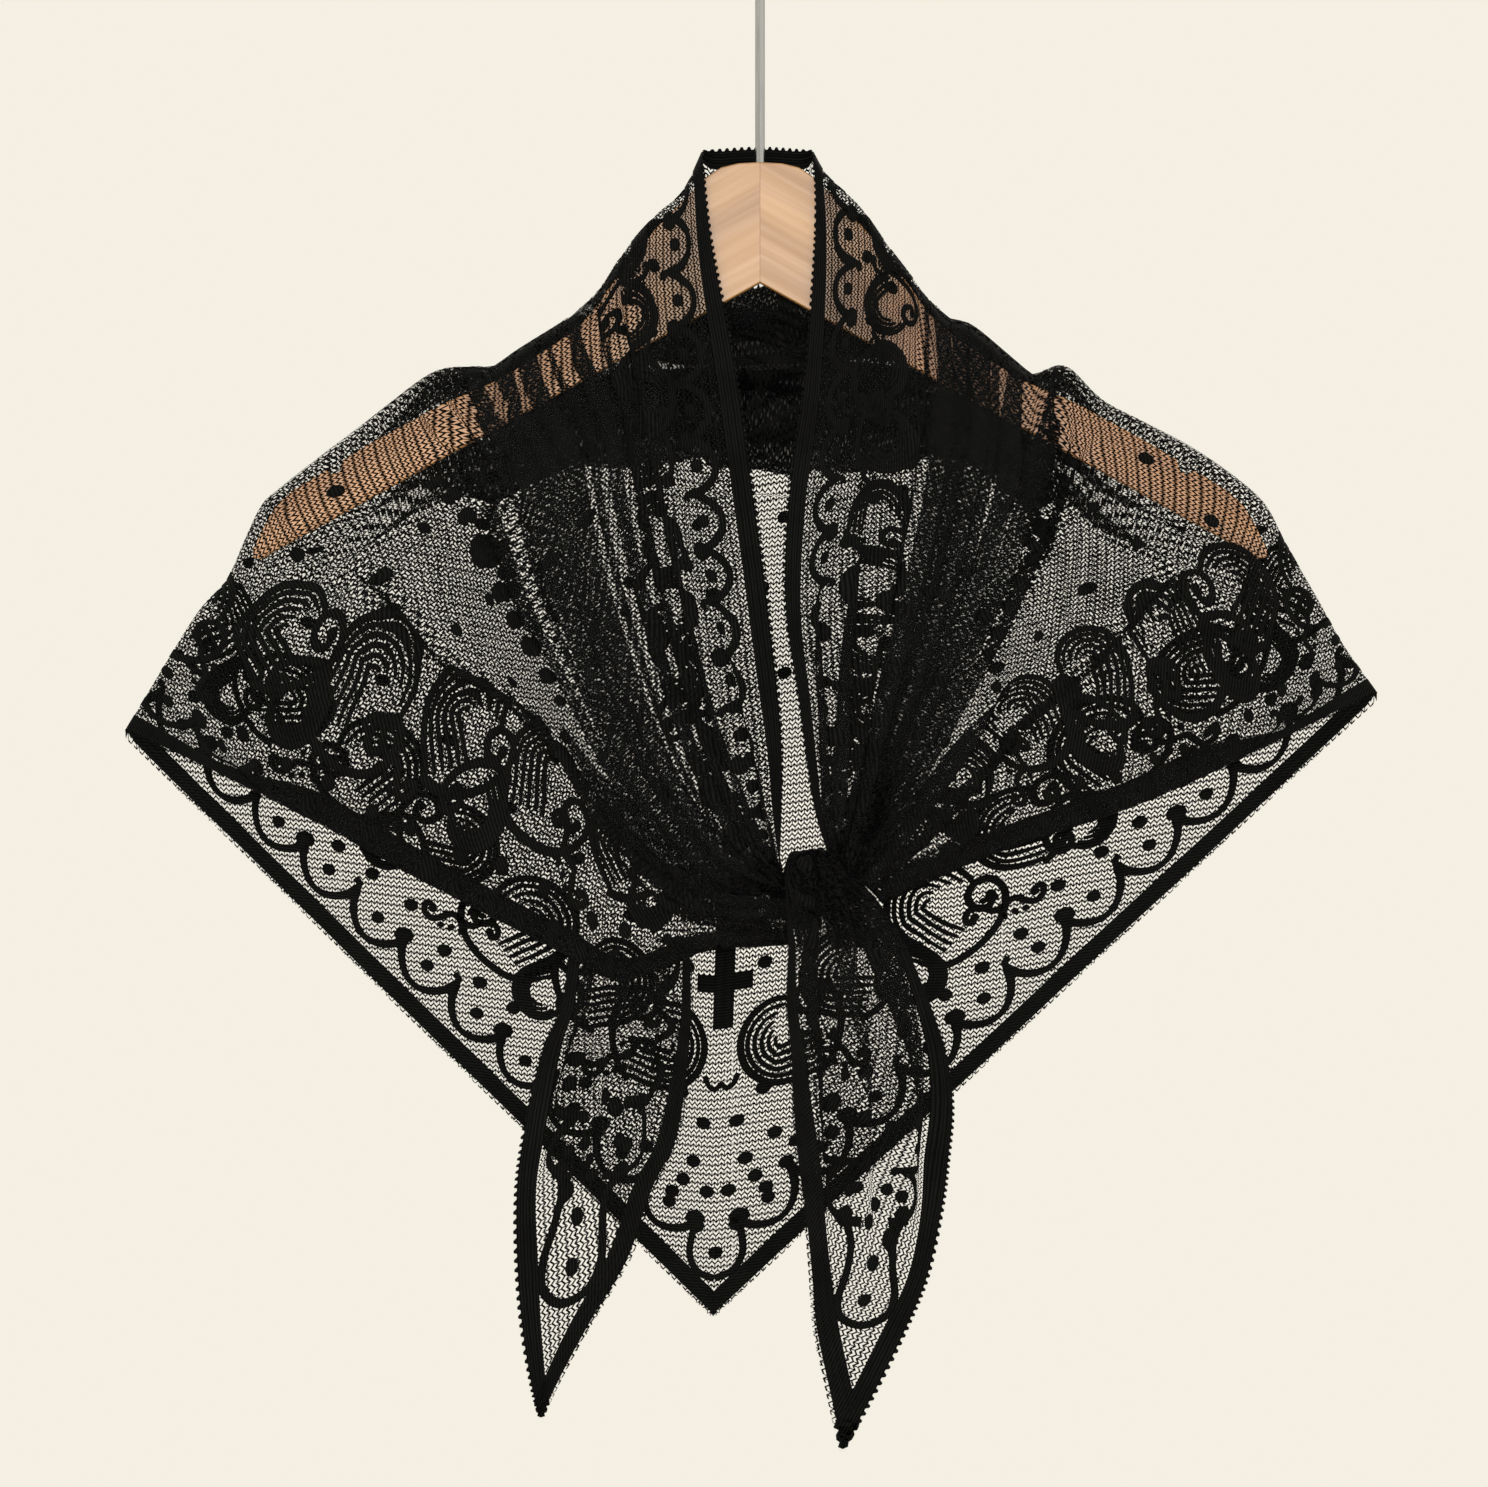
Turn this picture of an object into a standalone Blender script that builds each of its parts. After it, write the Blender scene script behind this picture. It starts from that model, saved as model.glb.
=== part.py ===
# Triangular lace shawl draped over a flat wooden hanger and tied in front. Metres, +Z up, front towards -Y.
# The origin is the inner top of the hook, where a rail carries the hanger.
# Places on the garment are given as the distance out from the hanger's centre and the drop below its crown.
import math

import bmesh
import bpy
from mathutils import Vector

MM = 0.001

# Hook
WIRE_RADIUS = 2.0 * MM
HOOK_RADIUS = 19.0 * MM
HOOK_START = math.radians(-55)
HOOK_END = math.radians(205)
HOOK_STEPS = 22
HOOK_BEND_STEPS = 8
HOOK_BEND_RISE = 7.0 * MM
HOOK_BEND_RUN = 9.0 * MM
NECK_HEIGHT = 16.0 * MM
STEM_LENGTH = 68.0 * MM
STEM_DEPTH = 10.0 * MM

# Hanger
WOOD_THICKNESS = 10.0 * MM
WOOD_ROUNDING = 4.0 * MM
BORE_CLEARANCE = 0.3 * MM
BORE_RADIUS = WIRE_RADIUS + BORE_CLEARANCE
NOTCH_OUT = 174.0 * MM
NOTCH_HALF_WIDTH = 3.2 * MM
NOTCH_DEPTH = 3.5 * MM
NOTCH_SLANT = 1.2
NOTCH_TILT = 0.7

# Cloth
WALL = 1.0 * MM
SEAM_GAP = 0.7 * MM
HALF_GAP = 7.5 * MM
CORNER_HALF_GAP = 3.0 * MM
FOLD_HEIGHT = 6.0 * MM
COLLAR_DEPTH = 7.5 * MM
CORNER_HEIGHT = 3.0 * MM
ARM_END_OUT = 203.0
CORNER_REACH = 52.0

CENTRE_X = HOOK_RADIUS - WIRE_RADIUS
CROWN_Z = -CENTRE_X - HOOK_RADIUS * abs(math.sin(HOOK_START)) - NECK_HEIGHT - STEM_LENGTH

# One half of the hanger's outline, out and drop in mm, from the crown round to the middle of the lower edge
HANGER_CROWN = [(0.0, 0.0), (9.0, 0.5), (16.0, 2.2), (22.6, 6.6), (31.6, 15.8)]
HANGER_NECK = [(41.8, 26.2), (53.3, 39.2), (68.9, 61.8), (76.0, 68.5), (84.0, 74.5), (106.6, 89.0)]
HANGER_ARM = [(129.2, 98.6), (160.0, 115.4)]
HANGER_END = [(191.5, 134.6), (198.0, 140.6), (203.0, 149.0), (207.6, 158.5), (207.4, 161.8), (204.6, 162.4)]
HANGER_BELOW = (0.0, 49.2)

# The fold over the hanger, from the neck to the corner where the hem turns, out and drop in mm
FOLD_LINE = {
    "left": [
        (23.4, -5.3), (31.6, 11.5), (41.8, 20.5), (53.3, 33.2), (68.9, 56.2), (98.8, 77.1), (109.5, 84.5),
        (117.3, 84.1), (132.8, 86.1), (151.3, 99.2), (166.9, 111.1), (198.0, 134.5), (204.6, 141.0),
        (210.5, 152.9), (218.9, 171.4), (229.6, 182.9), (241.9, 202.1), (260.4, 233.0),
    ],
    "right": [
        (21.3, -5.3), (27.5, 5.0), (40.8, 17.6), (51.4, 32.4), (59.9, 43.5), (75.4, 63.4), (86.9, 67.7),
        (110.7, 86.9), (116.9, 84.5), (126.3, 83.6), (140.2, 96.8), (157.4, 106.2), (182.9, 120.5),
        (201.7, 134.5), (209.5, 143.9), (215.7, 156.6), (228.4, 178.4), (239.0, 197.2), (253.2, 217.6),
    ],
}
BACK_POINT = {"out": -19.3, "drop": 474.4}

# Lines that the cloth of each front follows from the shoulder fold to the knot, out and drop in mm.
# The first is the neck edge, the last the hem, and the others are main folds between them.
FRONT_LINES = {
    "left": {
        "neck edge": [
            (-23.4, -4.9), (-19.3, 31.6), (-10.2, 78.7), (-2.5, 130.4), (3.9, 179.2), (9.4, 236.6), (7.8, 289.0),
        ],
        "inner fold": [
            (-101.3, 78.7), (-99.2, 113.6), (-90.2, 162.8), (-71.8, 212.0), (-47.2, 261.2), (-18.5, 291.0),
            (12.0, 297.5),
        ],
        "outer fold": [
            (-199.7, 136.1), (-177.5, 159.5), (-135.3, 199.7), (-90.2, 241.5), (-55.4, 279.6), (-24.6, 303.0),
            (12.0, 308.5),
        ],
        "hem": [
            (-261.2, 234.1), (-188.6, 267.3), (-135.3, 296.0), (-82.0, 323.1), (-59.0, 334.6), (-38.1, 329.2),
            (-20.9, 322.0), (12.0, 319.0),
        ],
    },
    "right": {
        "neck edge": [
            (21.3, -4.9), (22.0, 27.5), (17.6, 87.3), (11.1, 134.1), (9.4, 179.2), (15.2, 220.2), (21.3, 261.2),
            (28.7, 286.4),
        ],
        "inner fold": [
            (96.4, 75.4), (92.3, 117.7), (80.0, 171.0), (62.3, 220.2), (47.2, 261.2), (34.5, 290.0),
        ],
        "outer fold": [
            (191.1, 126.7), (159.9, 162.8), (123.0, 203.8), (88.2, 242.7), (63.6, 271.4), (41.5, 294.5),
        ],
        "hem": [(253.8, 218.7), (159.9, 261.2), (98.4, 281.7), (49.5, 302.5)],
    },
}
FRONT_SHAPE = {
    "left": {"pleats": 5.0, "turn": 0.4, "edge depth": 14.0, "middle depth": 23.0},
    "right": {"pleats": 5.0, "turn": 0.1, "edge depth": 17.5, "middle depth": 25.0},
}
PLEAT_DEPTH = 2.8 * MM
PLEAT_SPAN = 0.5
KNOT_START = 0.35
KNOT_SPAN = 0.6
FRONT_TURN_POWER = 0.75

# Soft horizontal folds behind, below the hanger: mm out, mm down, mm deep, mm to each side, mm half height
BACK_FOLDS = [
    {"out": -5.0, "drop": 64.0, "depth": 4.5, "reach": 60.0, "half": 11.0},
    {"out": 8.0, "drop": 92.0, "depth": 4.0, "reach": 85.0, "half": 11.0},
    {"out": -8.0, "drop": 132.0, "depth": 3.5, "reach": 120.0, "half": 12.0},
]
FLUTE_DEPTH = 2.6
FLUTE_PITCH = 112.0
FLUTE_PHASE = 0.6
FLUTE_GROWTH = 220.0
LARGEST_FOLD_SHARE = 0.4

# The wrap over the crossing, row by row round it from behind, over the top and down the front, all in mm
WRAP_ROWS = [
    {"depth": -8.5, "drop": 314.0, "left": 10.6, "right": 25.0},
    {"depth": -8.0, "drop": 301.0, "left": 10.2, "right": 25.5},
    {"depth": -9.5, "drop": 290.0, "left": 9.9, "right": 25.8},
    {"depth": -14.0, "drop": 284.6, "left": 9.8, "right": 26.0},
    {"depth": -20.5, "drop": 282.8, "left": 9.8, "right": 26.4},
    {"depth": -27.5, "drop": 285.4, "left": 9.9, "right": 30.5},
    {"depth": -32.0, "drop": 293.0, "left": 10.2, "right": 39.0},
    {"depth": -34.0, "drop": 303.0, "left": 10.6, "right": 48.0},
    {"depth": -33.5, "drop": 312.0, "left": 11.0, "right": 54.5},
    {"depth": -31.5, "drop": 321.0, "left": 11.1, "right": 60.0},
]
WRAP_FOLDS = 4.0
WRAP_FOLD_DEPTH = 1.8
WRAP_FOLD_SPAN = 0.5
WRAP_FRONT_START = 0.3
WRAP_FRONT_SPAN = 0.3
WRAP_ROUND_OFF = 1.5

# The two ends, row by row down to the point, all in mm
TAIL_ROWS = {
    "right": [
        {"drop": 321.4, "left": 11.1, "right": 60.0, "depth": -31.5},
        {"drop": 343.2, "left": 10.2, "right": 69.3, "depth": -29.0},
        {"drop": 364.5, "left": 11.9, "right": 76.3, "depth": -27.0},
        {"drop": 385.4, "left": 12.7, "right": 79.1, "depth": -25.5},
        {"drop": 407.1, "left": 14.4, "right": 77.5, "depth": -24.0},
        {"drop": 427.6, "left": 17.2, "right": 75.0, "depth": -22.5},
        {"drop": 454.7, "left": 19.7, "right": 69.3, "depth": -21.0},
        {"drop": 476.4, "left": 21.3, "right": 60.7, "depth": -20.0},
        {"drop": 502.3, "left": 26.7, "right": 48.0, "depth": -19.0},
        {"drop": 527.0, "left": 32.2, "right": 34.6, "depth": -18.0},
    ],
    "left": [
        {"drop": 332.0, "left": -76.7, "right": -28.3, "depth": -10.0},
        {"drop": 346.0, "left": -81.6, "right": -27.5, "depth": -11.5},
        {"drop": 358.8, "left": -87.7, "right": -27.9, "depth": -12.5},
        {"drop": 374.3, "left": -92.7, "right": -29.1, "depth": -13.5},
        {"drop": 400.2, "left": -98.0, "right": -33.2, "depth": -14.5},
        {"drop": 420.7, "left": -100.5, "right": -43.1, "depth": -15.0},
        {"drop": 448.1, "left": -100.5, "right": -52.5, "depth": -15.0},
        {"drop": 475.2, "left": -98.4, "right": -68.5, "depth": -14.5},
        {"drop": 499.8, "left": -94.3, "right": -82.0, "depth": -14.0},
        {"drop": 514.0, "left": -90.6, "right": -88.4, "depth": -13.5},
    ],
}
TAIL_FOLDS = {
    "right": {"count": 3.0, "turn": 0.1, "depth": 3.0, "fade start": 0.35},
    "left": {"count": 3.0, "turn": 0.55, "depth": 2.6, "fade start": 0.3},
}
TAIL_FADE_SPAN = 0.6
TAIL_TOP_SPAN = 0.3
TAIL_TUCK = 3.0 * MM
TAIL_SEAT = 1.4 * MM
TAIL_TUCK_SPAN = 0.12

# How finely the cloth is divided
BACK_COLUMNS = 17
COLLAR_COLUMNS = 5
BACK_ROWS = 20
FOLD_ANGLES = [0, 25, 50, 72, 90]
FRONT_FOLD = [0.0, 0.005, 0.011, 0.02]
FRONT_ACROSS = 30
FRONT_DOWN = 14
KNOT_ACROSS = 14
TAIL_ACROSS = 14
TAIL_DOWN = 14
HEM_SEARCH_START = 0.3
HEM_SEARCH_STEPS = 24


def between(a, b, share):
    return a + (b - a) * share


def ease(share):
    share = min(1.0, max(0.0, share))
    return share * share * (3.0 - 2.0 * share)


def bump(distance):
    # 1 at the middle, falling smoothly to 0 at a distance of 1
    return 0.0 if abs(distance) >= 1.0 else 0.5 + 0.5 * math.cos(math.pi * distance)


def curve_value(values, place):
    # a smooth line through evenly numbered values
    place = min(len(values) - 1.0, max(0.0, place))
    first = min(len(values) - 2, int(place))
    t = place - first
    b = values[first]
    c = values[first + 1]
    a = values[first - 1] if first > 0 else b * 2.0 - c
    d = values[first + 2] if first + 2 < len(values) else c * 2.0 - b
    return b + (c - a) * (0.5 * t) + (a * 2.0 - b * 5.0 + c * 4.0 - d) * (0.5 * t * t) \
        + (b * 3.0 - a - c * 3.0 + d) * (0.5 * t * t * t)


def along(points, share):
    # the point at a share of the length of a line through the points
    points = [Vector(p) for p in points]
    lengths = [0.0]
    for a, b in zip(points, points[1:]):
        lengths.append(lengths[-1] + (b - a).length)
    target = share * lengths[-1]
    for i in range(len(points) - 1):
        if target <= lengths[i + 1] or i == len(points) - 2:
            return curve_value(points, i + (target - lengths[i]) / (lengths[i + 1] - lengths[i]))
    return points[-1]


def row_value(rows, key, share):
    return curve_value([row[key] for row in rows], share * (len(rows) - 1))


def place(out, drop, depth):
    # out and drop in mm from the crown, depth in mm towards the front as minus
    return Vector((out * MM, depth * MM, CROWN_Z - drop * MM))


def fold_point(side, share):
    out, drop = along(FOLD_LINE[side], share)
    return Vector((-out if side == "left" else out, drop))


def half_gap(out):
    # how far the cloth lies from the hanger's middle: closer past the arm's end
    past = ease((abs(out) - ARM_END_OUT) / CORNER_REACH)
    return between(HALF_GAP, CORNER_HALF_GAP, past) / MM


def over_fold(travel, reach):
    # the share of its depth that the cloth has reached on its way over the fold
    return math.sin(min(1.0, travel / reach) * math.pi / 2.0) ** FRONT_TURN_POWER


def front_point(side, across, down):
    lines = list(FRONT_LINES[side].values())
    shape = FRONT_SHAPE[side]
    path = curve_value([along(line, down) for line in lines], across * (len(lines) - 1))
    start = curve_value([Vector(line[0]) for line in lines], across * (len(lines) - 1))
    path = path + (fold_point(side, across) - start) * (1.0 - down) ** 3
    half = half_gap(path.x)
    knot_depth = between(shape["edge depth"], shape["middle depth"], math.sin(math.pi * across))
    depth = between(half, knot_depth, ease((down - KNOT_START) / KNOT_SPAN))
    wave = 0.5 - 0.5 * math.cos(2.0 * math.pi * (shape["pleats"] * across + shape["turn"] * (1.0 - down)))
    depth += wave * PLEAT_DEPTH / MM * ease(down / PLEAT_SPAN)
    turn = over_fold(down, FRONT_FOLD[-1])
    seam = SEAM_GAP / MM / 2.0
    return place(path.x, path.y, -between(seam, depth, turn))


def hem_drop(out):
    # the back's lower edge runs straight from its point up to either corner
    corner = fold_point("left" if out < BACK_POINT["out"] else "right", 1.0)
    share = (out - BACK_POINT["out"]) / (corner.x - BACK_POINT["out"])
    return between(BACK_POINT["drop"], corner.y + CORNER_HEIGHT / MM, share)


def back_column(side, share):
    # one column of the back: its place, top drop, top depth and bottom drop; shares under 0 are behind the neck
    seam = SEAM_GAP / MM / 2.0
    top = fold_point(side, max(0.0, share))
    if share < 0.0:
        top.x *= 1.0 + share
        seam = max(seam, COLLAR_DEPTH / MM * math.sqrt(1.0 - (1.0 + share) ** 4))
    return top.x, top.y, seam, hem_drop(top.x)


def back_depth(out, drop, top):
    depth = half_gap(out)
    for fold in BACK_FOLDS:
        aside = bump((out - fold["out"]) / fold["reach"])
        depth += fold["depth"] * aside * bump((drop - fold["drop"]) / fold["half"])
    hang = ease((drop - top) / FLUTE_GROWTH)
    return depth + FLUTE_DEPTH * hang * math.sin(2.0 * math.pi * out / FLUTE_PITCH + FLUTE_PHASE)


def back_row(column, row):
    out, top, seam, bottom = column
    height = bottom - top
    fold = min(FOLD_HEIGHT / MM, LARGEST_FOLD_SHARE * height)
    if row < len(FOLD_ANGLES):
        angle = math.radians(FOLD_ANGLES[row])
        drop = top + fold * (1.0 - math.cos(angle))
        turn = math.sin(angle)
    else:
        drop = between(top + fold, bottom, (row - len(FOLD_ANGLES) + 1) / BACK_ROWS)
        turn = 1.0
    return place(out, drop, between(seam, back_depth(out, drop, top), turn))


def wrap_point(across, around):
    row = {key: row_value(WRAP_ROWS, key, around) for key in WRAP_ROWS[0]}
    out = between(row["left"], row["right"], across)
    wave = 0.5 - 0.5 * math.cos(2.0 * math.pi * WRAP_FOLDS * across)
    lift = WRAP_FOLD_DEPTH * wave * ease(around / WRAP_FOLD_SPAN)
    front = ease((around - WRAP_FRONT_START) / WRAP_FRONT_SPAN)
    round_off = WRAP_ROUND_OFF * (2.0 * across - 1.0) ** 2 * front
    return place(out, row["drop"] - lift * (1.0 - front), row["depth"] - lift * front + round_off)


def tail_point(side, across, down):
    rows = TAIL_ROWS[side]
    folds = TAIL_FOLDS[side]
    row = {key: row_value(rows, key, down) for key in rows[0]}
    out = between(row["left"], row["right"], across)
    wave = 0.5 - 0.5 * math.cos(2.0 * math.pi * (folds["count"] * across + folds["turn"]))
    lift = folds["depth"] * wave * (1.0 - ease((down - folds["fade start"]) / TAIL_FADE_SPAN))
    if side == "right":
        top_wave = 0.5 - 0.5 * math.cos(2.0 * math.pi * WRAP_FOLDS * across)
        top_lift = WRAP_FOLD_DEPTH * top_wave - WRAP_ROUND_OFF * (2.0 * across - 1.0) ** 2
        return place(out, row["drop"], row["depth"] - between(top_lift, lift, ease(down / TAIL_TOP_SPAN)))
    hung = place(out, row["drop"], row["depth"] + lift)
    edge = hem_point_at(side, out)
    tucked = Vector((edge.x, edge.y + TAIL_SEAT, edge.z + TAIL_TUCK))
    return tucked.lerp(hung, ease(down / TAIL_TUCK_SPAN))


def hem_point_at(side, out):
    # the point of a front's hem that hangs at a distance out, near the knot
    low = HEM_SEARCH_START
    high = 1.0
    for _ in range(HEM_SEARCH_STEPS):
        middle = (low + high) / 2.0
        if front_point(side, 1.0, middle).x < out * MM:
            low = middle
        else:
            high = middle
    return front_point(side, 1.0, middle)


def material(name, colour, roughness, metallic=0.0):
    made = bpy.data.materials.new(name)
    made.use_nodes = True
    shader = made.node_tree.nodes["Principled BSDF"]
    shader.inputs["Base Color"].default_value = (*colour, 1.0)
    shader.inputs["Roughness"].default_value = roughness
    shader.inputs["Metallic"].default_value = metallic
    return made


def cloth(name, rows, home, finish):
    # an open surface through rows of points, made a wall of even thickness
    mesh = bpy.data.meshes.new(name)
    width = len(rows[0])
    faces = []
    for r in range(len(rows) - 1):
        for c in range(width - 1):
            corner = r * width + c
            faces.append((corner, corner + 1, corner + width + 1, corner + width))
    mesh.from_pydata([p for row in rows for p in row], [], faces)
    mesh.shade_smooth()
    mesh.materials.append(finish)
    made = bpy.data.objects.new(name, mesh)
    home.objects.link(made)
    wall = made.modifiers.new("Wall", "SOLIDIFY")
    wall.thickness = WALL
    wall.offset = 0.0
    return made


def shares(count):
    return [i / count for i in range(count + 1)]


def build_back(home, finish):
    columns = []
    for share in reversed(shares(BACK_COLUMNS)):
        columns.append(back_column("left", share))
    for share in reversed(shares(COLLAR_COLUMNS)[:-1]):
        columns.append(back_column("left", share - 1.0))
    for share in shares(COLLAR_COLUMNS)[1:-1]:
        columns.append(back_column("right", share - 1.0))
    for share in shares(BACK_COLUMNS):
        columns.append(back_column("right", share))
    rows = []
    for row in range(len(FOLD_ANGLES) + BACK_ROWS):
        rows.append([back_row(column, row) for column in columns])
    return cloth("shawl_back", rows, home, finish)


def build_front(side, home, finish):
    downs = FRONT_FOLD + [between(FRONT_FOLD[-1], 1.0, share) for share in shares(FRONT_DOWN)[1:]]
    rows = [[front_point(side, across, down) for across in shares(FRONT_ACROSS)] for down in downs]
    return cloth("shawl_front_" + side, rows, home, finish)


def build_knot(home, finish):
    rows = []
    for around in shares(2 * len(WRAP_ROWS) - 2):
        rows.append([wrap_point(across, around) for across in shares(KNOT_ACROSS)])
    return cloth("shawl_knot", rows, home, finish)


def build_tail(side, home, finish):
    rows = []
    for down in shares(TAIL_DOWN):
        rows.append([tail_point(side, across, down) for across in shares(TAIL_ACROSS)])
    return cloth("shawl_tail_" + side, rows, home, finish)


def notch(out, drop_at):
    # three points of a strap notch in the arm's top edge
    start = NOTCH_OUT / MM - NOTCH_HALF_WIDTH / MM
    end = NOTCH_OUT / MM + NOTCH_HALF_WIDTH / MM
    low = drop_at(out) + NOTCH_DEPTH / MM
    return [
        (start, drop_at(start)), (start + NOTCH_SLANT, low - NOTCH_TILT), (out, low),
        (end - NOTCH_SLANT, low + NOTCH_TILT), (end, drop_at(end)),
    ]


def build_hanger(home, finish):
    arm_start = HANGER_ARM[-1]
    arm_end = HANGER_END[0]
    slope = (arm_end[1] - arm_start[1]) / (arm_end[0] - arm_start[0])
    cut = notch(NOTCH_OUT / MM, lambda out: arm_start[1] + slope * (out - arm_start[0]))
    half = HANGER_CROWN + HANGER_NECK + HANGER_ARM + cut + HANGER_END
    outline = half + [HANGER_BELOW] + [(-out, drop) for out, drop in reversed(half[1:])]
    curve = bpy.data.curves.new("hanger outline", "CURVE")
    curve.dimensions = "2D"
    curve.fill_mode = "BOTH"
    curve.extrude = WOOD_THICKNESS / 2.0
    line = curve.splines.new("POLY")
    line.points.add(len(outline) - 1)
    for point, (out, drop) in zip(line.points, outline):
        point.co = (out * MM, -drop * MM, 0.0, 1.0)
    line.use_cyclic_u = True
    flat = bpy.data.objects.new("hanger outline", curve)
    home.objects.link(flat)
    flat.location = (0.0, 0.0, CROWN_Z)
    flat.rotation_euler = (math.pi / 2.0, 0.0, 0.0)
    made = curve_to_mesh(flat, "hanger_wood", home)
    made.data.materials.append(finish)
    rounding = made.modifiers.new("Rounded edges", "BEVEL")
    rounding.width = WOOD_ROUNDING
    rounding.segments = 3
    rounding.limit_method = "ANGLE"
    rounding.angle_limit = math.radians(60)
    return made


def curve_to_mesh(source, name, home):
    # the curve's solid as a mesh with its caps welded on
    bpy.context.view_layer.update()
    mesh = bpy.data.meshes.new_from_object(source.evaluated_get(bpy.context.evaluated_depsgraph_get()))
    mesh.name = name
    work = bmesh.new()
    work.from_mesh(mesh)
    bmesh.ops.remove_doubles(work, verts=work.verts, dist=0.00001)
    work.to_mesh(mesh)
    work.free()
    made = bpy.data.objects.new(name, mesh)
    home.objects.link(made)
    made.matrix_world = source.matrix_world
    bpy.data.objects.remove(source)
    return made


def bore_hanger(hanger, cutters):
    bpy.ops.mesh.primitive_cylinder_add(
        vertices=16, radius=BORE_RADIUS, depth=2.0 * (STEM_DEPTH + BORE_CLEARANCE), location=(0.0, 0.0, CROWN_Z))
    cutter = bpy.context.object
    cutter.name = "hook bore"
    cutter.hide_render = True
    cutter.display_type = "WIRE"
    for group in list(cutter.users_collection):
        group.objects.unlink(cutter)
    cutters.objects.link(cutter)
    bore = hanger.modifiers.new("Hook bore", "BOOLEAN")
    bore.operation = "DIFFERENCE"
    bore.object = cutter


def build_hook(home, finish):
    centre = Vector((0.0, 0.0, -CENTRE_X))
    points = [Vector((0.0, 0.0, CROWN_Z - STEM_DEPTH))]
    points.append(Vector((0.0, 0.0, CROWN_Z)))
    neck_top = CROWN_Z + STEM_LENGTH
    start = centre + Vector((math.cos(HOOK_START), 0.0, math.sin(HOOK_START))) * HOOK_RADIUS
    lead = Vector((-math.sin(HOOK_START), 0.0, math.cos(HOOK_START)))
    stem = Vector((0.0, 0.0, neck_top))
    for share in shares(HOOK_BEND_STEPS):
        # a smooth bend from the upright stem into the start of the round hook
        a = stem
        b = stem + Vector((0.0, 0.0, HOOK_BEND_RISE))
        c = start - lead * HOOK_BEND_RUN
        rest = 1.0 - share
        points.append(
            a * rest ** 3 + b * 3.0 * rest ** 2 * share + c * 3.0 * rest * share ** 2 + start * share ** 3)
    for share in shares(HOOK_STEPS)[1:]:
        angle = between(HOOK_START, HOOK_END, share)
        points.append(centre + Vector((math.cos(angle), 0.0, math.sin(angle))) * HOOK_RADIUS)
    curve = bpy.data.curves.new("hanger_hook", "CURVE")
    curve.dimensions = "3D"
    curve.bevel_depth = WIRE_RADIUS
    curve.bevel_resolution = 2
    curve.use_fill_caps = True
    line = curve.splines.new("POLY")
    line.points.add(len(points) - 1)
    for point, at in zip(line.points, points):
        point.co = (*at, 1.0)
    curve.materials.append(finish)
    made = bpy.data.objects.new("hanger_hook", curve)
    home.objects.link(made)
    return made


def main():
    for thing in list(bpy.data.objects):
        bpy.data.objects.remove(thing)
    home = bpy.data.collections.new("lace shawl on a hanger")
    cutters = bpy.data.collections.new("cutters")
    bpy.context.scene.collection.children.link(home)
    bpy.context.scene.collection.children.link(cutters)
    lace = material("black lace", (0.012, 0.011, 0.011), 0.85)
    wood = material("pale wood", (0.72, 0.52, 0.34), 0.45)
    steel = material("hook steel", (0.62, 0.61, 0.60), 0.28, 1.0)
    hanger = build_hanger(home, wood)
    bore_hanger(hanger, cutters)
    build_hook(home, steel)
    build_back(home, lace)
    for side in ("left", "right"):
        build_front(side, home, lace)
        build_tail(side, home, lace)
    build_knot(home, lace)


main()
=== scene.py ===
import math

import bpy
import numpy as np
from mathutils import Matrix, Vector


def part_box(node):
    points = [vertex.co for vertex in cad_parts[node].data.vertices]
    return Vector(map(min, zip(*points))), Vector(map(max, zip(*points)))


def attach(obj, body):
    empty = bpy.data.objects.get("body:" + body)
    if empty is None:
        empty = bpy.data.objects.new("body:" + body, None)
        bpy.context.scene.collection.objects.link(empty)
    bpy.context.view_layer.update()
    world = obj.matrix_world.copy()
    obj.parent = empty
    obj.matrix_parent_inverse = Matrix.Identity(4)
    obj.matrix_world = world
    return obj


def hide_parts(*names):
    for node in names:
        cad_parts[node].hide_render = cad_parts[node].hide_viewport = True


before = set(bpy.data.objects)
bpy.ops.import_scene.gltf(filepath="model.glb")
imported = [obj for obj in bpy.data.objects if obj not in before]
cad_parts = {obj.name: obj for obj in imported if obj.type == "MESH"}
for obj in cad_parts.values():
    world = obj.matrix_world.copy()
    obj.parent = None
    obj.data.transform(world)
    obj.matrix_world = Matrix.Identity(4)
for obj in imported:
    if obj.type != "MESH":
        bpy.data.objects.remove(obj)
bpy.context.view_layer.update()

# Black lace shawl tied on a pale wooden hanger.
# Places on it are mm out from the hanger's centre and mm of drop below its crown, with depth
# towards the front minus.
# Places on the flat cut are mm along the long edge from its middle, and mm in from that edge.
mm = 0.001
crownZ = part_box("hanger_wood")[1][2]

cut = {  # mm, the flat triangle: half its long edge, its depth, and where each stretch of it begins
    "half": 698.0, "depth": 565.0, "nape": 23.4, "cornerAlong": 265.1,
    "knotNeck": 322.0, "knotLeg": 497.5,
}

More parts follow.
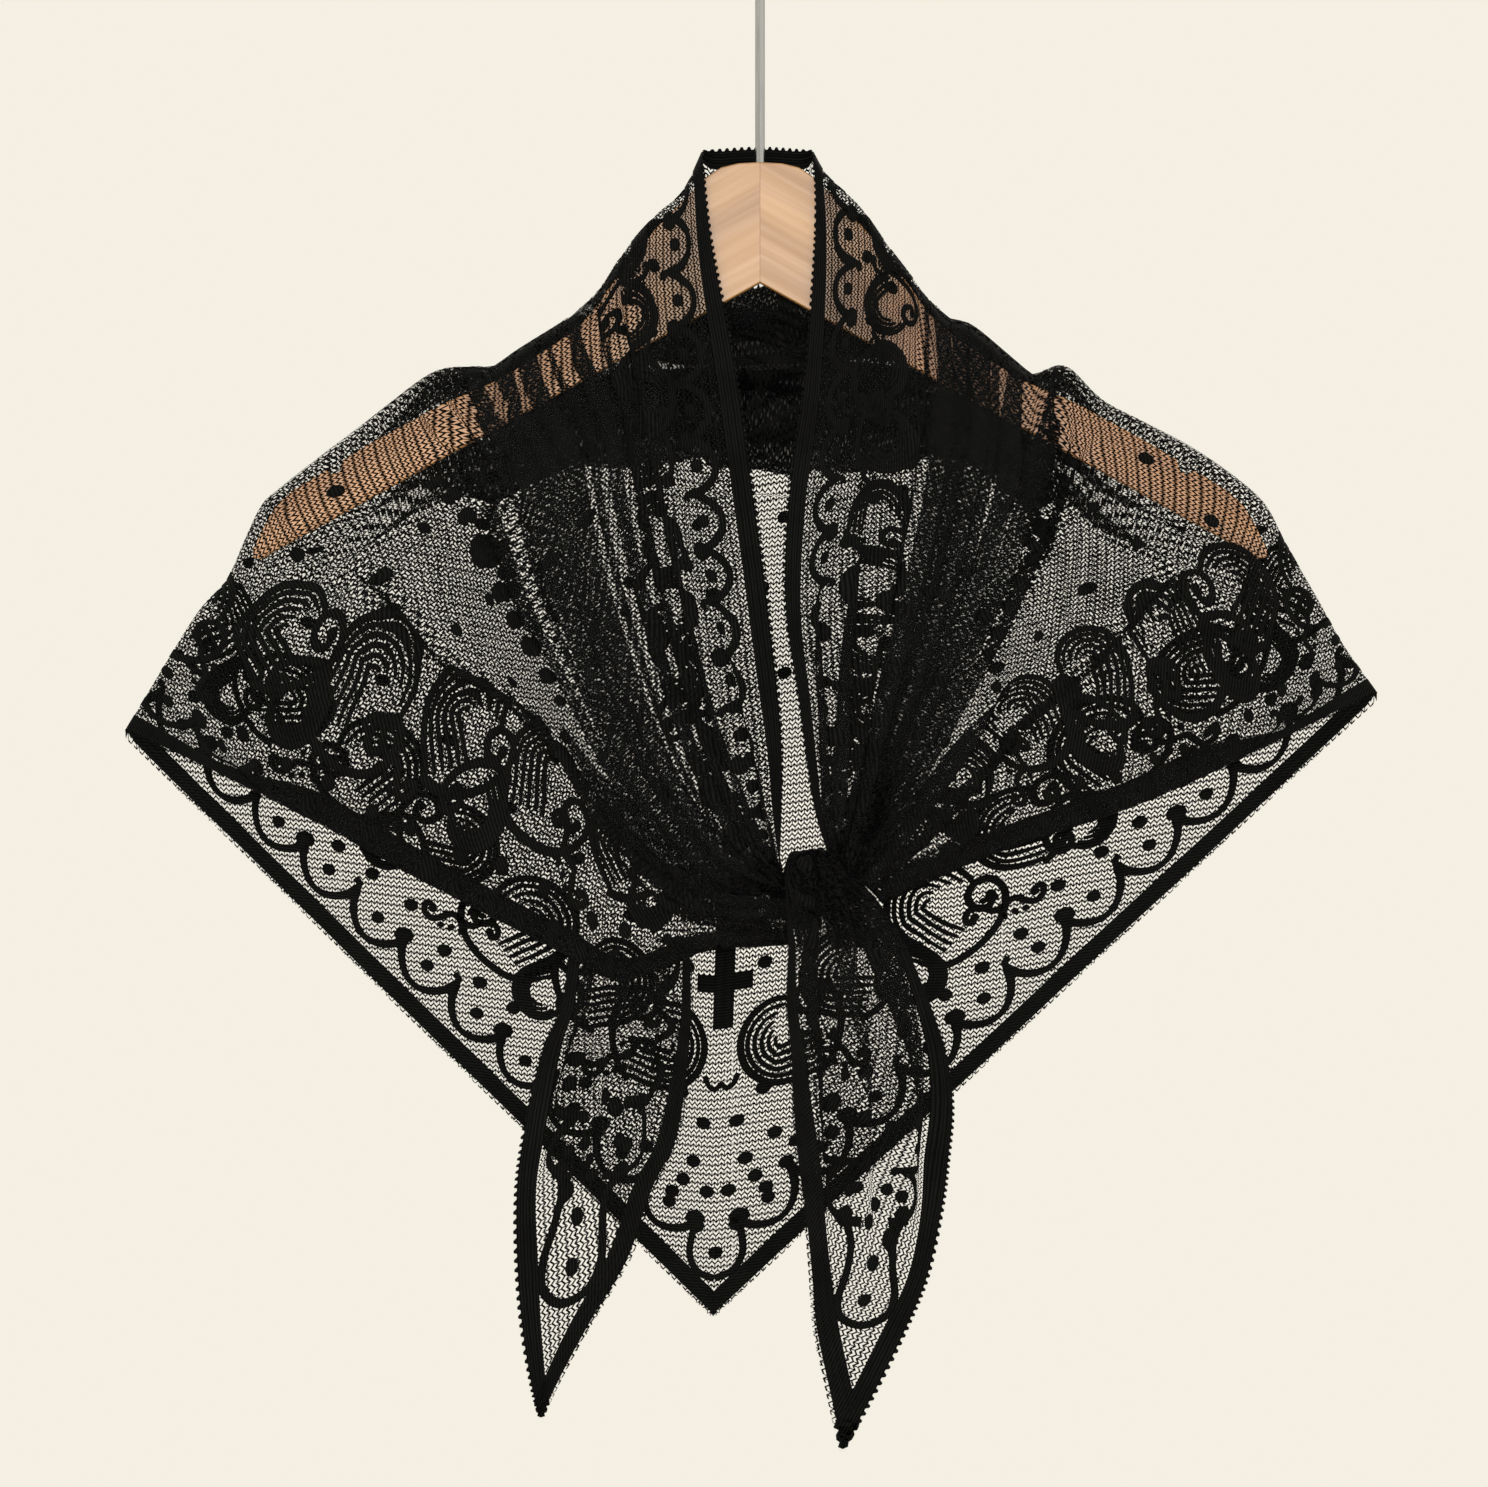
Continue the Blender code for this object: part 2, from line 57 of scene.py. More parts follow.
drape = {  # mm and shares of a length: how the cloth lies, as the solids have it, but for the collar's rise
    "halfGap": 7.5, "cornerHalfGap": 3.0, "cornerFrom": 203.0, "cornerOver": 52.0, "cornerHeight": 3.0,
    "fold": 6.0, "foldMost": 0.4, "collar": 7.5, "collarRise": 2.0, "backPoint": (-19.3, 474.4),
    "pleatDepth": 2.8, "pleatOver": 0.5, "frontFold": 0.02, "frontTurn": 0.75,
    "knotFrom": 0.35, "knotOver": 0.6,
    "flute": 2.6, "flutePitch": 112.0, "flutePhase": 0.6, "fluteOver": 220.0,
    "wrapFolds": 4.0, "wrapFoldDepth": 1.8, "wrapFoldOver": 0.5,
    "wrapFrom": 0.3, "wrapOver": 0.3, "wrapRound": 1.5,
    "tailOver": 0.6, "tailTop": 0.3, "tuck": 3.0, "tuckOver": 0.12, "seat": 1.4, "hemFrom": 0.3,
}

foldLine = {  # the fold over the hanger, from the neck to the corner where the hem turns
    "left": [
        (23.4, -5.3), (31.6, 11.5), (41.8, 20.5), (53.3, 33.2), (68.9, 56.2), (98.8, 77.1), (109.5, 84.5),
        (117.3, 84.1), (132.8, 86.1), (151.3, 99.2), (166.9, 111.1), (198.0, 134.5), (204.6, 141.0),
        (210.5, 152.9), (218.9, 171.4), (229.6, 182.9), (241.9, 202.1), (260.4, 233.0),
    ],
    "right": [
        (21.3, -5.3), (27.5, 5.0), (40.8, 17.6), (51.4, 32.4), (59.9, 43.5), (75.4, 63.4), (86.9, 67.7),
        (110.7, 86.9), (116.9, 84.5), (126.3, 83.6), (140.2, 96.8), (157.4, 106.2), (182.9, 120.5),
        (201.7, 134.5), (209.5, 143.9), (215.7, 156.6), (228.4, 178.4), (239.0, 197.2), (253.2, 217.6),
    ],
}

frontLines = {  # lines that the fronts follow from the shoulder fold to the knot
    "left": {
        "neck edge": [
            (-23.4, -4.9), (-19.3, 31.6), (-10.2, 78.7), (-2.5, 130.4), (3.9, 179.2), (9.4, 236.6),
            (7.8, 289.0),
        ],
        "inner fold": [
            (-101.3, 78.7), (-99.2, 113.6), (-90.2, 162.8), (-71.8, 212.0), (-47.2, 261.2), (-18.5, 291.0),
            (12.0, 297.5),
        ],
        "outer fold": [
            (-199.7, 136.1), (-177.5, 159.5), (-135.3, 199.7), (-90.2, 241.5), (-55.4, 279.6),
            (-24.6, 303.0), (12.0, 308.5),
        ],
        "hem": [
            (-261.2, 234.1), (-188.6, 267.3), (-135.3, 296.0), (-82.0, 323.1), (-59.0, 334.6),
            (-38.1, 329.2), (-20.9, 322.0), (12.0, 319.0),
        ],
    },
    "right": {
        "neck edge": [
            (21.3, -4.9), (22.0, 27.5), (17.6, 87.3), (11.1, 134.1), (9.4, 179.2), (15.2, 220.2),
            (21.3, 261.2), (28.7, 286.4),
        ],
        "inner fold": [
            (96.4, 75.4), (92.3, 117.7), (80.0, 171.0), (62.3, 220.2), (47.2, 261.2), (34.5, 290.0),
        ],
        "outer fold": [
            (191.1, 126.7), (159.9, 162.8), (123.0, 203.8), (88.2, 242.7), (63.6, 271.4), (41.5, 294.5),
        ],
        "hem": [(253.8, 218.7), (159.9, 261.2), (98.4, 281.7), (49.5, 302.5)],
    },
}
frontShape = {
    "left": {"pleats": 5.0, "turn": 0.4, "edge": 14.0, "middle": 23.0},
    "right": {"pleats": 5.0, "turn": 0.1, "edge": 17.5, "middle": 25.0},
}

backRidges = [  # soft folds behind, below the hanger
    {"out": -5.0, "drop": 64.0, "depth": 4.5, "reach": 60.0, "half": 11.0},
    {"out": 8.0, "drop": 92.0, "depth": 4.0, "reach": 85.0, "half": 11.0},
    {"out": -8.0, "drop": 132.0, "depth": 3.5, "reach": 120.0, "half": 12.0},
]

wrapRows = [  # the wrap over the crossing: depth, drop, left, right
    (-8.5, 314.0, 10.6, 25.0), (-8.0, 301.0, 10.2, 25.5), (-9.5, 290.0, 9.9, 25.8),
    (-14.0, 284.6, 11.3, 26.0), (-20.5, 282.8, 12.6, 26.4), (-27.5, 285.4, 11.0, 30.5),
    (-32.0, 293.0, 10.2, 39.0), (-34.0, 303.0, 10.6, 48.0), (-33.5, 312.0, 11.0, 54.5),
    (-31.5, 321.4, 11.1, 60.0),
]
tailRows = {  # the two ends: depth, drop, left, right
    "right": [
        (-31.5, 321.4, 11.1, 60.0), (-29.0, 343.2, 10.2, 69.3), (-27.0, 364.5, 11.9, 76.3),
        (-25.5, 385.4, 12.7, 79.1), (-24.0, 407.1, 14.4, 77.5), (-22.5, 427.6, 17.2, 75.0),
        (-21.0, 454.7, 19.7, 69.3), (-20.0, 476.4, 21.3, 60.7), (-19.0, 502.3, 26.7, 48.0),
        (-18.0, 527.0, 32.2, 34.6),
    ],
    "left": [
        (-10.0, 332.0, -76.7, -28.3), (-11.5, 346.0, -81.6, -27.5), (-12.5, 358.8, -87.7, -27.9),
        (-13.5, 374.3, -92.7, -29.1), (-14.5, 400.2, -98.0, -33.2), (-15.0, 420.7, -100.5, -43.1),
        (-15.0, 448.1, -100.5, -52.5), (-14.5, 475.2, -98.4, -68.5), (-14.0, 499.8, -94.3, -82.0),
        (-13.5, 514.0, -90.6, -88.4),
    ],
}
tailFolds = {
    "right": {"count": 3.0, "turn": 0.1, "depth": 3.0, "fadeFrom": 0.35},
    "left": {"count": 3.0, "turn": 0.55, "depth": 2.6, "fadeFrom": 0.3},
}


def between(a, b, share):
    return a + (b - a) * share


def ease(share):
    share = np.clip(share, 0.0, 1.0)
    return share * share * (3.0 - 2.0 * share)


def bump(distance):
    return np.where(np.abs(distance) >= 1.0, 0.0, 0.5 + 0.5 * np.cos(np.pi * np.clip(distance, -1.0, 1.0)))


def waves(turns):
    # even folds, from 0 to 1 and back in each turn
    return 0.5 - 0.5 * np.cos(2.0 * np.pi * turns)


def curveValue(values, where):
    # a smooth line through evenly numbered values, read at many places at once
    values = np.asarray(values, float)
    where = np.clip(where, 0.0, len(values) - 1.0)
    first = np.minimum(where.astype(int), len(values) - 2)
    t = (where - first).reshape(where.shape + (1,) * (values.ndim - 1))
    padded = np.concatenate([[2.0 * values[0] - values[1]], values, [2.0 * values[-1] - values[-2]]])
    a, b, c, d = (padded[first + k] for k in range(4))
    bend = (a * 2.0 - b * 5.0 + c * 4.0 - d) * (0.5 * t * t)
    twist = (b * 3.0 - a - c * 3.0 + d) * (0.5 * t * t * t)
    return b + (c - a) * (0.5 * t) + bend + twist


def along(points, share):
    # the points at shares of the length of a line through the points
    points = np.asarray(points, float)
    steps = np.linalg.norm(np.diff(points, axis=0), axis=1)
    lengths = np.concatenate([[0.0], np.cumsum(steps)])
    return curveValue(points, np.interp(share * lengths[-1], lengths, np.arange(len(points))))


def place(out, drop, depth):
    out, drop, depth = np.broadcast_arrays(out, drop, depth)
    return np.stack([out * mm, depth * mm, crownZ - drop * mm], axis=-1)


def foldPoint(side, share):
    points = along(foldLine[side], share)
    return points * np.array([-1.0 if side == "left" else 1.0, 1.0])


def halfGap(out):
    share = ease((np.abs(out) - drape["cornerFrom"]) / drape["cornerOver"])
    return between(drape["halfGap"], drape["cornerHalfGap"], share)


def frontForm(side, across, down):
    shape = frontShape[side]
    lines = list(frontLines[side].values())
    last = len(lines) - 1
    path = curveValue(np.stack([along(line, down) for line in lines]), across * last)
    start = curveValue(np.array([line[0] for line in lines]), across * last)
    lead = (foldPoint(side, across) - start)[:, None, :]
    path = path + lead * ((1.0 - down) ** 3)[None, :, None]
    knotDepth = between(shape["edge"], shape["middle"], np.sin(np.pi * across))[:, None]
    toKnot = ease((down - drape["knotFrom"]) / drape["knotOver"])[None, :]
    depth = between(halfGap(path[..., 0]), knotDepth, toKnot)
    wave = waves(shape["pleats"] * across[:, None] + shape["turn"] * (1.0 - down))
    depth = depth + wave * drape["pleatDepth"] * ease(down / drape["pleatOver"])
    turn = np.sin(np.minimum(1.0, down / drape["frontFold"]) * np.pi / 2.0) ** drape["frontTurn"]
    return place(path[..., 0], path[..., 1], -depth * turn)


def hemDrop(out):
    pointOut, pointDrop = drape["backPoint"]
    left = foldPoint("left", np.array([1.0]))[0]
    right = foldPoint("right", np.array([1.0]))[0]
    corner = np.where((out < pointOut)[..., None], left, right)
    share = (out - pointOut) / (corner[..., 0] - pointOut)
    return between(pointDrop, corner[..., 1] + drape["cornerHeight"], share)


def backForm(tops, seams, down):
    # columns hang from the fold line, and turn down over it in a quarter circle
    out = tops[:, 0][:, None]
    top = tops[:, 1][:, None]
    height = hemDrop(tops[:, 0])[:, None] - top
    fold = np.minimum(drape["fold"], drape["foldMost"] * height)
    arc = fold * np.pi / 2.0
    travel = down[None, :] * (height - fold + arc)
    angle = np.minimum(travel / fold, np.pi / 2.0)
    drop = top + fold * (1.0 - np.cos(angle)) + np.maximum(0.0, travel - arc)
    depth = halfGap(out) + 0.0 * drop
    for ridge in backRidges:
        aside = bump((out - ridge["out"]) / ridge["reach"])
        depth = depth + ridge["depth"] * aside * bump((drop - ridge["drop"]) / ridge["half"])
    hang = ease((drop - top) / drape["fluteOver"])
    fluted = np.sin(2.0 * np.pi * out / drape["flutePitch"] + drape["flutePhase"])
    depth = depth + drape["flute"] * hang * fluted
    return place(out, drop, between(seams[:, None], depth, np.sin(angle)))


def wrapForm(across, around):
    depth, drop, left, right = curveValue(np.array(wrapRows), around * (len(wrapRows) - 1)).T
    across = across[:, None]
    lift = drape["wrapFoldDepth"] * waves(drape["wrapFolds"] * across) * ease(around / drape["wrapFoldOver"])
    front = ease((around - drape["wrapFrom"]) / drape["wrapOver"])
    roundOff = drape["wrapRound"] * (2.0 * across - 1.0) ** 2 * front
    return place(between(left, right, across), drop - lift * (1.0 - front), depth - lift * front + roundOff)


def tailForm(side, across, down):
    folds = tailFolds[side]
    rows = np.array(tailRows[side])
    depth, drop, left, right = curveValue(rows, down * (len(rows) - 1)).T
    share = across[:, None]
    out = between(left, right, share)
    fade = 1.0 - ease((down - folds["fadeFrom"]) / drape["tailOver"])
    lift = folds["depth"] * waves(folds["count"] * share + folds["turn"]) * fade
    if side == "right":
        wrapLift = drape["wrapFoldDepth"] * waves(drape["wrapFolds"] * share)
        wrapLift = wrapLift - drape["wrapRound"] * (2.0 * share - 1.0) ** 2
        return place(out, drop, depth - between(wrapLift, lift, ease(down / drape["tailTop"])))
    hung = place(out, drop, depth + lift)
    hem = frontForm(side, np.array([1.0]), np.linspace(drape["hemFrom"], 1.0, 400))[0]
    rim = np.stack([np.interp(out * mm, hem[:, 0], hem[:, k]) for k in range(3)], axis=-1)
    rim = rim + np.array([0.0, drape["seat"] * mm, drape["tuck"] * mm])
    return between(rim, hung, ease(down / drape["tuckOver"])[None, :, None])


print("drape formulas ready")

legStart = np.array([0.0, cut["depth"]])
legTip = np.array([cut["half"], 0.0])
legLength = float(np.linalg.norm(legTip - legStart))
legAlong = (legTip - legStart) / legLength
legIn = np.array([legAlong[1], -legAlong[0]])
tipIn = -(legAlong + np.array([1.0, 0.0]))
tipIn = tipIn / np.linalg.norm(tipIn)
tipAcross = np.array([-tipIn[1], tipIn[0]]) * -1.0
tipSlope = math.tan(0.5 * math.atan2(cut["depth"], cut["half"]))
nape = np.array([cut["nape"], 0.0])
corner = legStart + legAlong * cut["cornerAlong"] / legAlong[0]
foldAcross = np.array([corner[1] - nape[1], nape[0] - corner[0]]) / np.linalg.norm(corner - nape)
knotNeck = np.array([cut["knotNeck"], 0.0])
knotLeg = legStart + legAlong * cut["knotLeg"] / legAlong[0]
mirror = np.array([-1.0, 1.0])


def readGrid(grid, across, down):
    # a grid of values over 0 to 1 both ways, read between its points
    high, wide = grid.shape[0] - 1, grid.shape[1] - 1
    a = np.clip(across, 0.0, 1.0) * high
    b = np.clip(down, 0.0, 1.0) * wide
    i = np.minimum(a.astype(int), high - 1)
    j = np.minimum(b.astype(int), wide - 1)
    a = (a - i)[..., None]
    b = (b - j)[..., None]
    near = grid[i, j] * (1.0 - b) + grid[i, j + 1] * b
    far = grid[i + 1, j] * (1.0 - b) + grid[i + 1, j + 1] * b
    return near * (1.0 - a) + far * a


def unit(vectors):
    return vectors / np.maximum(np.linalg.norm(vectors, axis=-1, keepdims=True), 1e-12)


pleat = {  # meanSquare is that of the soft wave's slope; a pleat stands highest from fullLift mm of lap
    "meanSquare": 0.405, "gentle": 1.6, "fullLift": 2.5, "leastSlope": 5.0,
    "liftOver": 0.12, "beginOver": 0.2,
}


def normalsOf(form):
    return unit(np.cross(np.gradient(form, axis=0), np.gradient(form, axis=1)))


def lapped(base, tops, bottoms, pleats, spread, rise, reachAt):
    # Lays the spare width in knife pleats. Each runs over, back and over again, as wide as the cut needs.
    # pleats is where each begins and ends across the cut, its strength and, for some, how far down it starts.
    # Returns the form, and how much more cloth than surface lies at each point.
    high, wide = base.shape[0], base.shape[1]
    across = np.linspace(0.0, 1.0, high)
    down = np.linspace(0.0, 1.0, wide)
    flat = tops[:, None, :] + (bottoms - tops)[:, None, :] * down[None, :, None]
    wanted = np.linalg.norm(np.gradient(flat, across, axis=0), axis=2)
    a = spread(across, down)
    grid = np.broadcast_to(down, (high, wide))
    given = np.linalg.norm(np.gradient(readGrid(base, a, grid), across, axis=0), axis=2) / mm
    spare = np.sqrt(np.maximum(wanted ** 2 - given ** 2, 0.0) / pleat["meanSquare"])
    slope = np.linalg.norm(np.gradient(base, across, axis=0), axis=2) / mm
    slope = readGrid(slope[..., None], a, grid)[..., 0]
    shift = np.zeros((high, wide))
    lift = np.zeros((high, wide))
    for start, end, strength, *begins in pleats:
        within = (across > start) & (across < end)
        phase = 2.0 * np.pi * (across[within] - start) / (end - start) - np.pi
        soft = np.sin(phase) * np.minimum(1.0, pleat["gentle"] * np.cos(phase / 2.0))
        reach = reachAt(down) * (ease((down - begins[0]) / pleat["beginOver"]) if begins else 1.0)
        size = spare[within] * (end - start) / (2.0 * np.pi) * strength * reach[None, :]
        shift[within] = -size * soft[:, None]
        lift[within] = soft[:, None] * np.minimum(1.0, size / pleat["fullLift"])
    a = a + shift / np.maximum(slope, pleat["leastSlope"])
    form = readGrid(base, a, grid)
    normals = normalsOf(base)
    lift = lift * (rise * mm * ease(down / pleat["liftOver"]))[None, :]
    return form + readGrid(normals, a, grid) * lift[..., None], wanted / np.maximum(given, 1.0) - 1.0


def findOn(form, out, drop):
    # across and down, 0 to 1, of the frontmost place on a form near a point seen from the front
    aside = np.hypot(form[..., 0] / mm - out, (crownZ - form[..., 2]) / mm - drop)
    seen = np.where(aside < max(2.0, float(aside.min()) + 0.5), form[..., 1], 1.0)
    i, j = np.unravel_index(int(np.argmin(seen)), seen.shape)
    return i / (form.shape[0] - 1.0), j / (form.shape[1] - 1.0)


crease = {"fade": 0.15, "lift": 0.6}  # how soon it fades at its ends, and its height as a share of its lap


def creased(form, creases):
    # creases pressed in by hand: the points that each runs through, half its width across, and its lap
    high, wide = form.shape[0], form.shape[1]
    across = np.linspace(0.0, 1.0, high)[:, None]
    down = np.linspace(0.0, 1.0, wide)[None, :]
    normals = normalsOf(form)
    tangents = unit(np.gradient(form, axis=0))
    through = [sorted((findOn(form, *point) for point in row[0]), key=lambda at: at[1]) for row in creases]
    for found, (_, half, lap) in zip(through, creases):
        found = np.array(found)
        middle = np.interp(down, found[:, 1], found[:, 0])
        share = np.clip((down - found[0, 1]) / (found[-1, 1] - found[0, 1]), 0.0, 1.0)
        size = lap * ease(share / crease["fade"]) * ease((1.0 - share) / crease["fade"]) * mm
        phase = np.clip((across - middle) / half, -1.0, 1.0)
        shift = (np.sin(np.pi * phase) * size)[..., None]
        lift = (bump(phase) * crease["lift"] * size)[..., None]
        form = form - tangents * shift + normals * lift
    return form


print("flat cut ready")


class FlatLace:
    # what is knitted into the cloth, as strips and spots on the flat cut
    def __init__(self):
        self.points = []
        self.faces = []
        self.count = 0

    def add(self, points, faces):
        self.points.append(np.asarray(points, float))
        self.faces.append(np.asarray(faces, int) + self.count)
        self.count += len(points)

    def strip(self, path, width):
        # a ribbon along a path, which may narrow towards its ends
        path = np.asarray(path, float)
        lead = unit(np.gradient(path, axis=0))
        half = np.broadcast_to(width, len(path)) / 2.0
        side = np.stack([-lead[:, 1], lead[:, 0]], axis=1) * half[:, None]
        first = np.arange(len(path) - 1)
        faces = np.stack([first, first + 1, first + 1 + len(path), first + len(path)], axis=1)
        self.add(np.concatenate([path + side, path - side]), faces)

    def spot(self, centre, radius, stretch=1.0, turn=0.0):
        angles = np.arange(8) * math.pi / 4.0 + turn
        ring = np.stack([np.cos(angles) * stretch, np.sin(angles)], axis=1) * radius
        faces = [(0, 1 + k, 2 + k, 1 + (k + 2) % 8) for k in (0, 2, 4, 6)]
        self.add(np.concatenate([[[0.0, 0.0]], ring]) + np.asarray(centre), faces)

    def mirrored(self):
        points = np.concatenate(self.points)
        faces = np.concatenate(self.faces)
        otherFaces = faces[:, ::-1] + len(points)
        return np.concatenate([points, points * mirror]), np.concatenate([faces, otherFaces])


strokeStep = 1.5  # mm between the points of a drawn stroke


def stepped(points):
    # a smooth path through a few given points, divided evenly
    points = np.asarray(points, float)
    dense = curveValue(points, np.linspace(0.0, len(points) - 1.0, 24 * len(points)))
    lengths = np.concatenate([[0.0], np.cumsum(np.linalg.norm(np.diff(dense, axis=0), axis=1))])
    count = max(3, int(lengths[-1] / strokeStep) + 1)
    wanted = np.linspace(0.0, lengths[-1], count)
    return np.stack([np.interp(wanted, lengths, dense[:, k]) for k in (0, 1)], axis=1)


def fromLeg(alongLeg, inward):
    return legStart + np.multiply.outer(alongLeg, legAlong) + np.multiply.outer(inward, legIn)


def inFromLeg(points):
    return (points - legStart) @ legIn


def turned(points, centre, angle, size, flip=1.0):
    points = np.asarray(points, float) * np.array([1.0, flip]) * size
    c, s = math.cos(angle), math.sin(angle)
    return points @ np.array([[c, s], [-s, c]]) + np.asarray(centre)


def polar(pairs):
    return [(r * math.cos(math.radians(a)), r * math.sin(math.radians(a))) for r, a in pairs]


feather = {  # a curled feather: nested arches over its heart, and a stem that sweeps below them into a curl
    "outer": 2.9, "inner": 1.9, "strokes": 6, "apart": 0.165, "smallest": 15.0,
    "root": (-0.66, -1.02), "rootStep": (0.18, 0.03),
    "from": 200.0, "fromStep": -6.0, "to": -12.0, "toStep": 15.0,  # degrees that each arch spans
    "stem": [
        (-0.78, -1.02), (-0.40, -1.26), (0.10, -1.36), (0.62, -1.32), (1.08, -1.10), (1.34, -0.72),
        (1.28, -0.32), (0.98, -0.16), (0.70, -0.32), (0.68, -0.64), (0.92, -0.80), (1.08, -0.62),
    ],
    "stemWidth": 3.1,
}
scroll = {  # an S with a curl at each end and leaves on its back: where each leaf is, its lean in degrees
    "half": [
        (-0.66, 0.36), (-0.78, 0.30), (-0.86, 0.42), (-0.74, 0.58), (-0.50, 0.56), (-0.36, 0.32),
        (-0.26, 0.08), (0.0, 0.0),
    ],
    "width": 2.8, "knob": 1.9, "leafLength": 0.16, "leafWidths": (1.0, 2.8, 3.6, 2.9, 1.0),
    "leaves": [(-0.30, 0.44, 40), (-0.10, 0.30, 20), (0.14, 0.20, 5)],
}
garland = {  # mm, the scalloped line along each edge, with a knob or a small hook at each cusp
    "legFirst": 31.8, "legCount": 28, "legNear": 12.5, "legFar": 24.5, "legLast": 86.6,
    "longCount": 26, "longNear": 14.0, "longFar": 23.0, "width": 3.1, "knob": 3.5, "dot": 2.6,
    "uneven": 1.5, "roundness": 0.62, "hook": [(0.0, 1.5), (0.8, 4.0), (3.4, 4.6)],
    "knobAt": 1.2, "dotUp": 1.5,
}
edge = {  # mm, the solid bands, and the teeth along the long edge
    "rim": 1.5, "band": 7.5, "step": 2.0, "overlap": 0.9,
    "toothPitch": 3.0, "toothBase": 2.1, "toothTip": 0.8, "toothDepth": 1.2,
    "toothFirst": 1.5, "toothLast": 12.0,
}
chain = {  # mm, the feathers and scrolls inside the edges: where a row starts, its pitch, how far in it is
    "count": 14, "pitch": 43.0, "longPitch": 32.0, "legClear": 96.0, "pointClear": 40.0,
    "upper": {"first": 80.0, "inward": 71.0, "sway": 3.0, "sizes": (18.5, 17.0, 19.0, 16.5)},
    "upperTurns": (0.25, -0.35, 0.05, -0.6),
    "lower": {"first": 101.0, "inward": 50.0, "sway": 2.0, "feather": 11.0, "scroll": 16.5},
    "long": {"first": 24.0, "inward": 48.0, "sway": 3.0, "feather": 13.5, "turns": (0.3, 2.9, 1.0)},
    "longScroll": {"first": 41.0, "inward": 41.0, "size": 12.5},
}
ends = {  # mm from the tip and to the side of it: the long loop in each pointed end, its knobs and dots
    "loop": [(92.0, -14.0), (84.0, -9.5), (74.0, -9.5), (63.0, -11.0), (54.0, -8.5), (50.0, 0.0)],
    "knobs": [(92.0, -13.0), (92.0, 13.0), (84.0, -8.0)],
    "dots": [
        (61.0, 0.5), (76.0, -1.0), (90.0, 2.0), (103.0, -7.0), (104.0, 9.0), (118.0, 1.0), (131.0, -10.0),
    ],
}
backEnd = {  # mm to the side of the back's point and up from it: half the loop in it, its knob and dots
    "loop": [(0.0, 16.5), (7.5, 19.0), (11.2, 25.5), (10.6, 33.0), (9.2, 37.5)], "knob": (9.0, 38.0),
    "dot": (0.0, 27.0), "dots": [
        (7.0, 80.0), (17.5, 92.0), (23.0, 73.0), (11.0, 64.0), (28.0, 60.0), (4.5, 52.0), (20.0, 51.0),
    ],
}
middleBar = {  # mm, the upright bar in the middle of the back, its crossbar, a feather and a bracket by it
    "lowEnd": 118.5, "length": 62.0, "half": 4.2, "crossReach": 11.8, "crossRows": (22.5, 18.9, 15.2),
    "feather": (25.0, 8.0), "featherTurn": -1.45, "featherSize": 17.5,
    "bracket": [(0.0, 22.5), (2.5, 24.5), (5.2, 23.0), (7.0, 19.0)], "bracketWidth": 2.2,
}
pearls = {  # mm, a chain of pearls with the largest near its start: places along it, and their radii
    "at": (255.0, 179.0), "behind": (257.0, 182.0), "lead": (0.905, -0.425),
    "row": [
        (-50, 3.0), (-40, 3.4), (-29, 3.8), (-13, 7.4), (5, 4.8), (18, 4.3), (31, 4.9), (45, 3.9),
        (57, 3.0),
    ],
}
dots = {  # mm: rows along the legs, by how far in, how far apart and where each starts, and a loose grid
    "rows": [(35.5, 20.0, 0.0), (100.0, 34.0, 9.0), (128.0, 40.0, 21.0)], "rowFirst": 26.0, "rowLast": 90.0,
    "rowJitter": 2.5, "gridLow": 84.0, "gridHigh": 330.0, "down": 31.0, "aside": 46.0, "stagger": 16.0,
    "jitter": 5.0, "longClear": 74.0, "legClear": 140.0, "foldClear": 70.0, "foldBelow": 215.0,
}
net = {  # mm; hidden is how far in the bands cover it, along the long edge and from and to along the legs
    "pitch": 1.9, "half": 1.25, "swing": 0.66, "width": 0.88, "tie": 0.37, "hidden": (7.5, 2.6, 8.0),
}


def drawFeather(lace, centre, angle, size, flip=1.0):
    strokes = feather["strokes"] if size > feather["smallest"] else feather["strokes"] - 2
    for k in range(strokes):
        root = tuple(start + step * k for start, step in zip(feather["root"], feather["rootStep"]))
        first = feather["from"] + feather["fromStep"] * k
        last = feather["to"] + feather["toStep"] * k
        arch = polar([(1.0 - feather["apart"] * k, a) for a in np.linspace(first, last, 7)])
        path = stepped(turned([root] + arch, centre, angle, size, flip))
        width = feather["outer"] if k == 0 else feather["inner"]
        lace.strip(path, width * (0.75 + 0.35 * np.sin(np.pi * np.linspace(0.0, 1.0, len(path)))))
    path = stepped(turned(feather["stem"], centre, angle, size, flip))
    lace.strip(path, feather["stemWidth"])
    lace.spot(path[-1], feather["stemWidth"] * 0.75)


def drawScroll(lace, centre, angle, size, flip=1.0):
    half = scroll["half"]
    whole = half + [(-x, -y) for x, y in reversed(half[:-1])]
    lace.strip(stepped(turned(whole, centre, angle, size, flip)), scroll["width"])
    for x, y in (half[0], (-half[0][0], -half[0][1])):
        lace.spot(turned([(x, y)], centre, angle, size, flip)[0], scroll["knob"])
    widths = np.array(scroll["leafWidths"])
    for x, y, lean in scroll["leaves"]:
        c = math.radians(lean)
        tip = (x + scroll["leafLength"] * math.cos(c), y + scroll["leafLength"] * math.sin(c))
        for sign in (1.0, -1.0):
            leaf = [(x * sign, y * sign), (tip[0] * sign, tip[1] * sign)]
            root, end = turned(leaf, centre, angle, size, flip)
            lace.strip(between(root, end, np.linspace(0.0, 1.0, len(widths))[:, None]), widths)


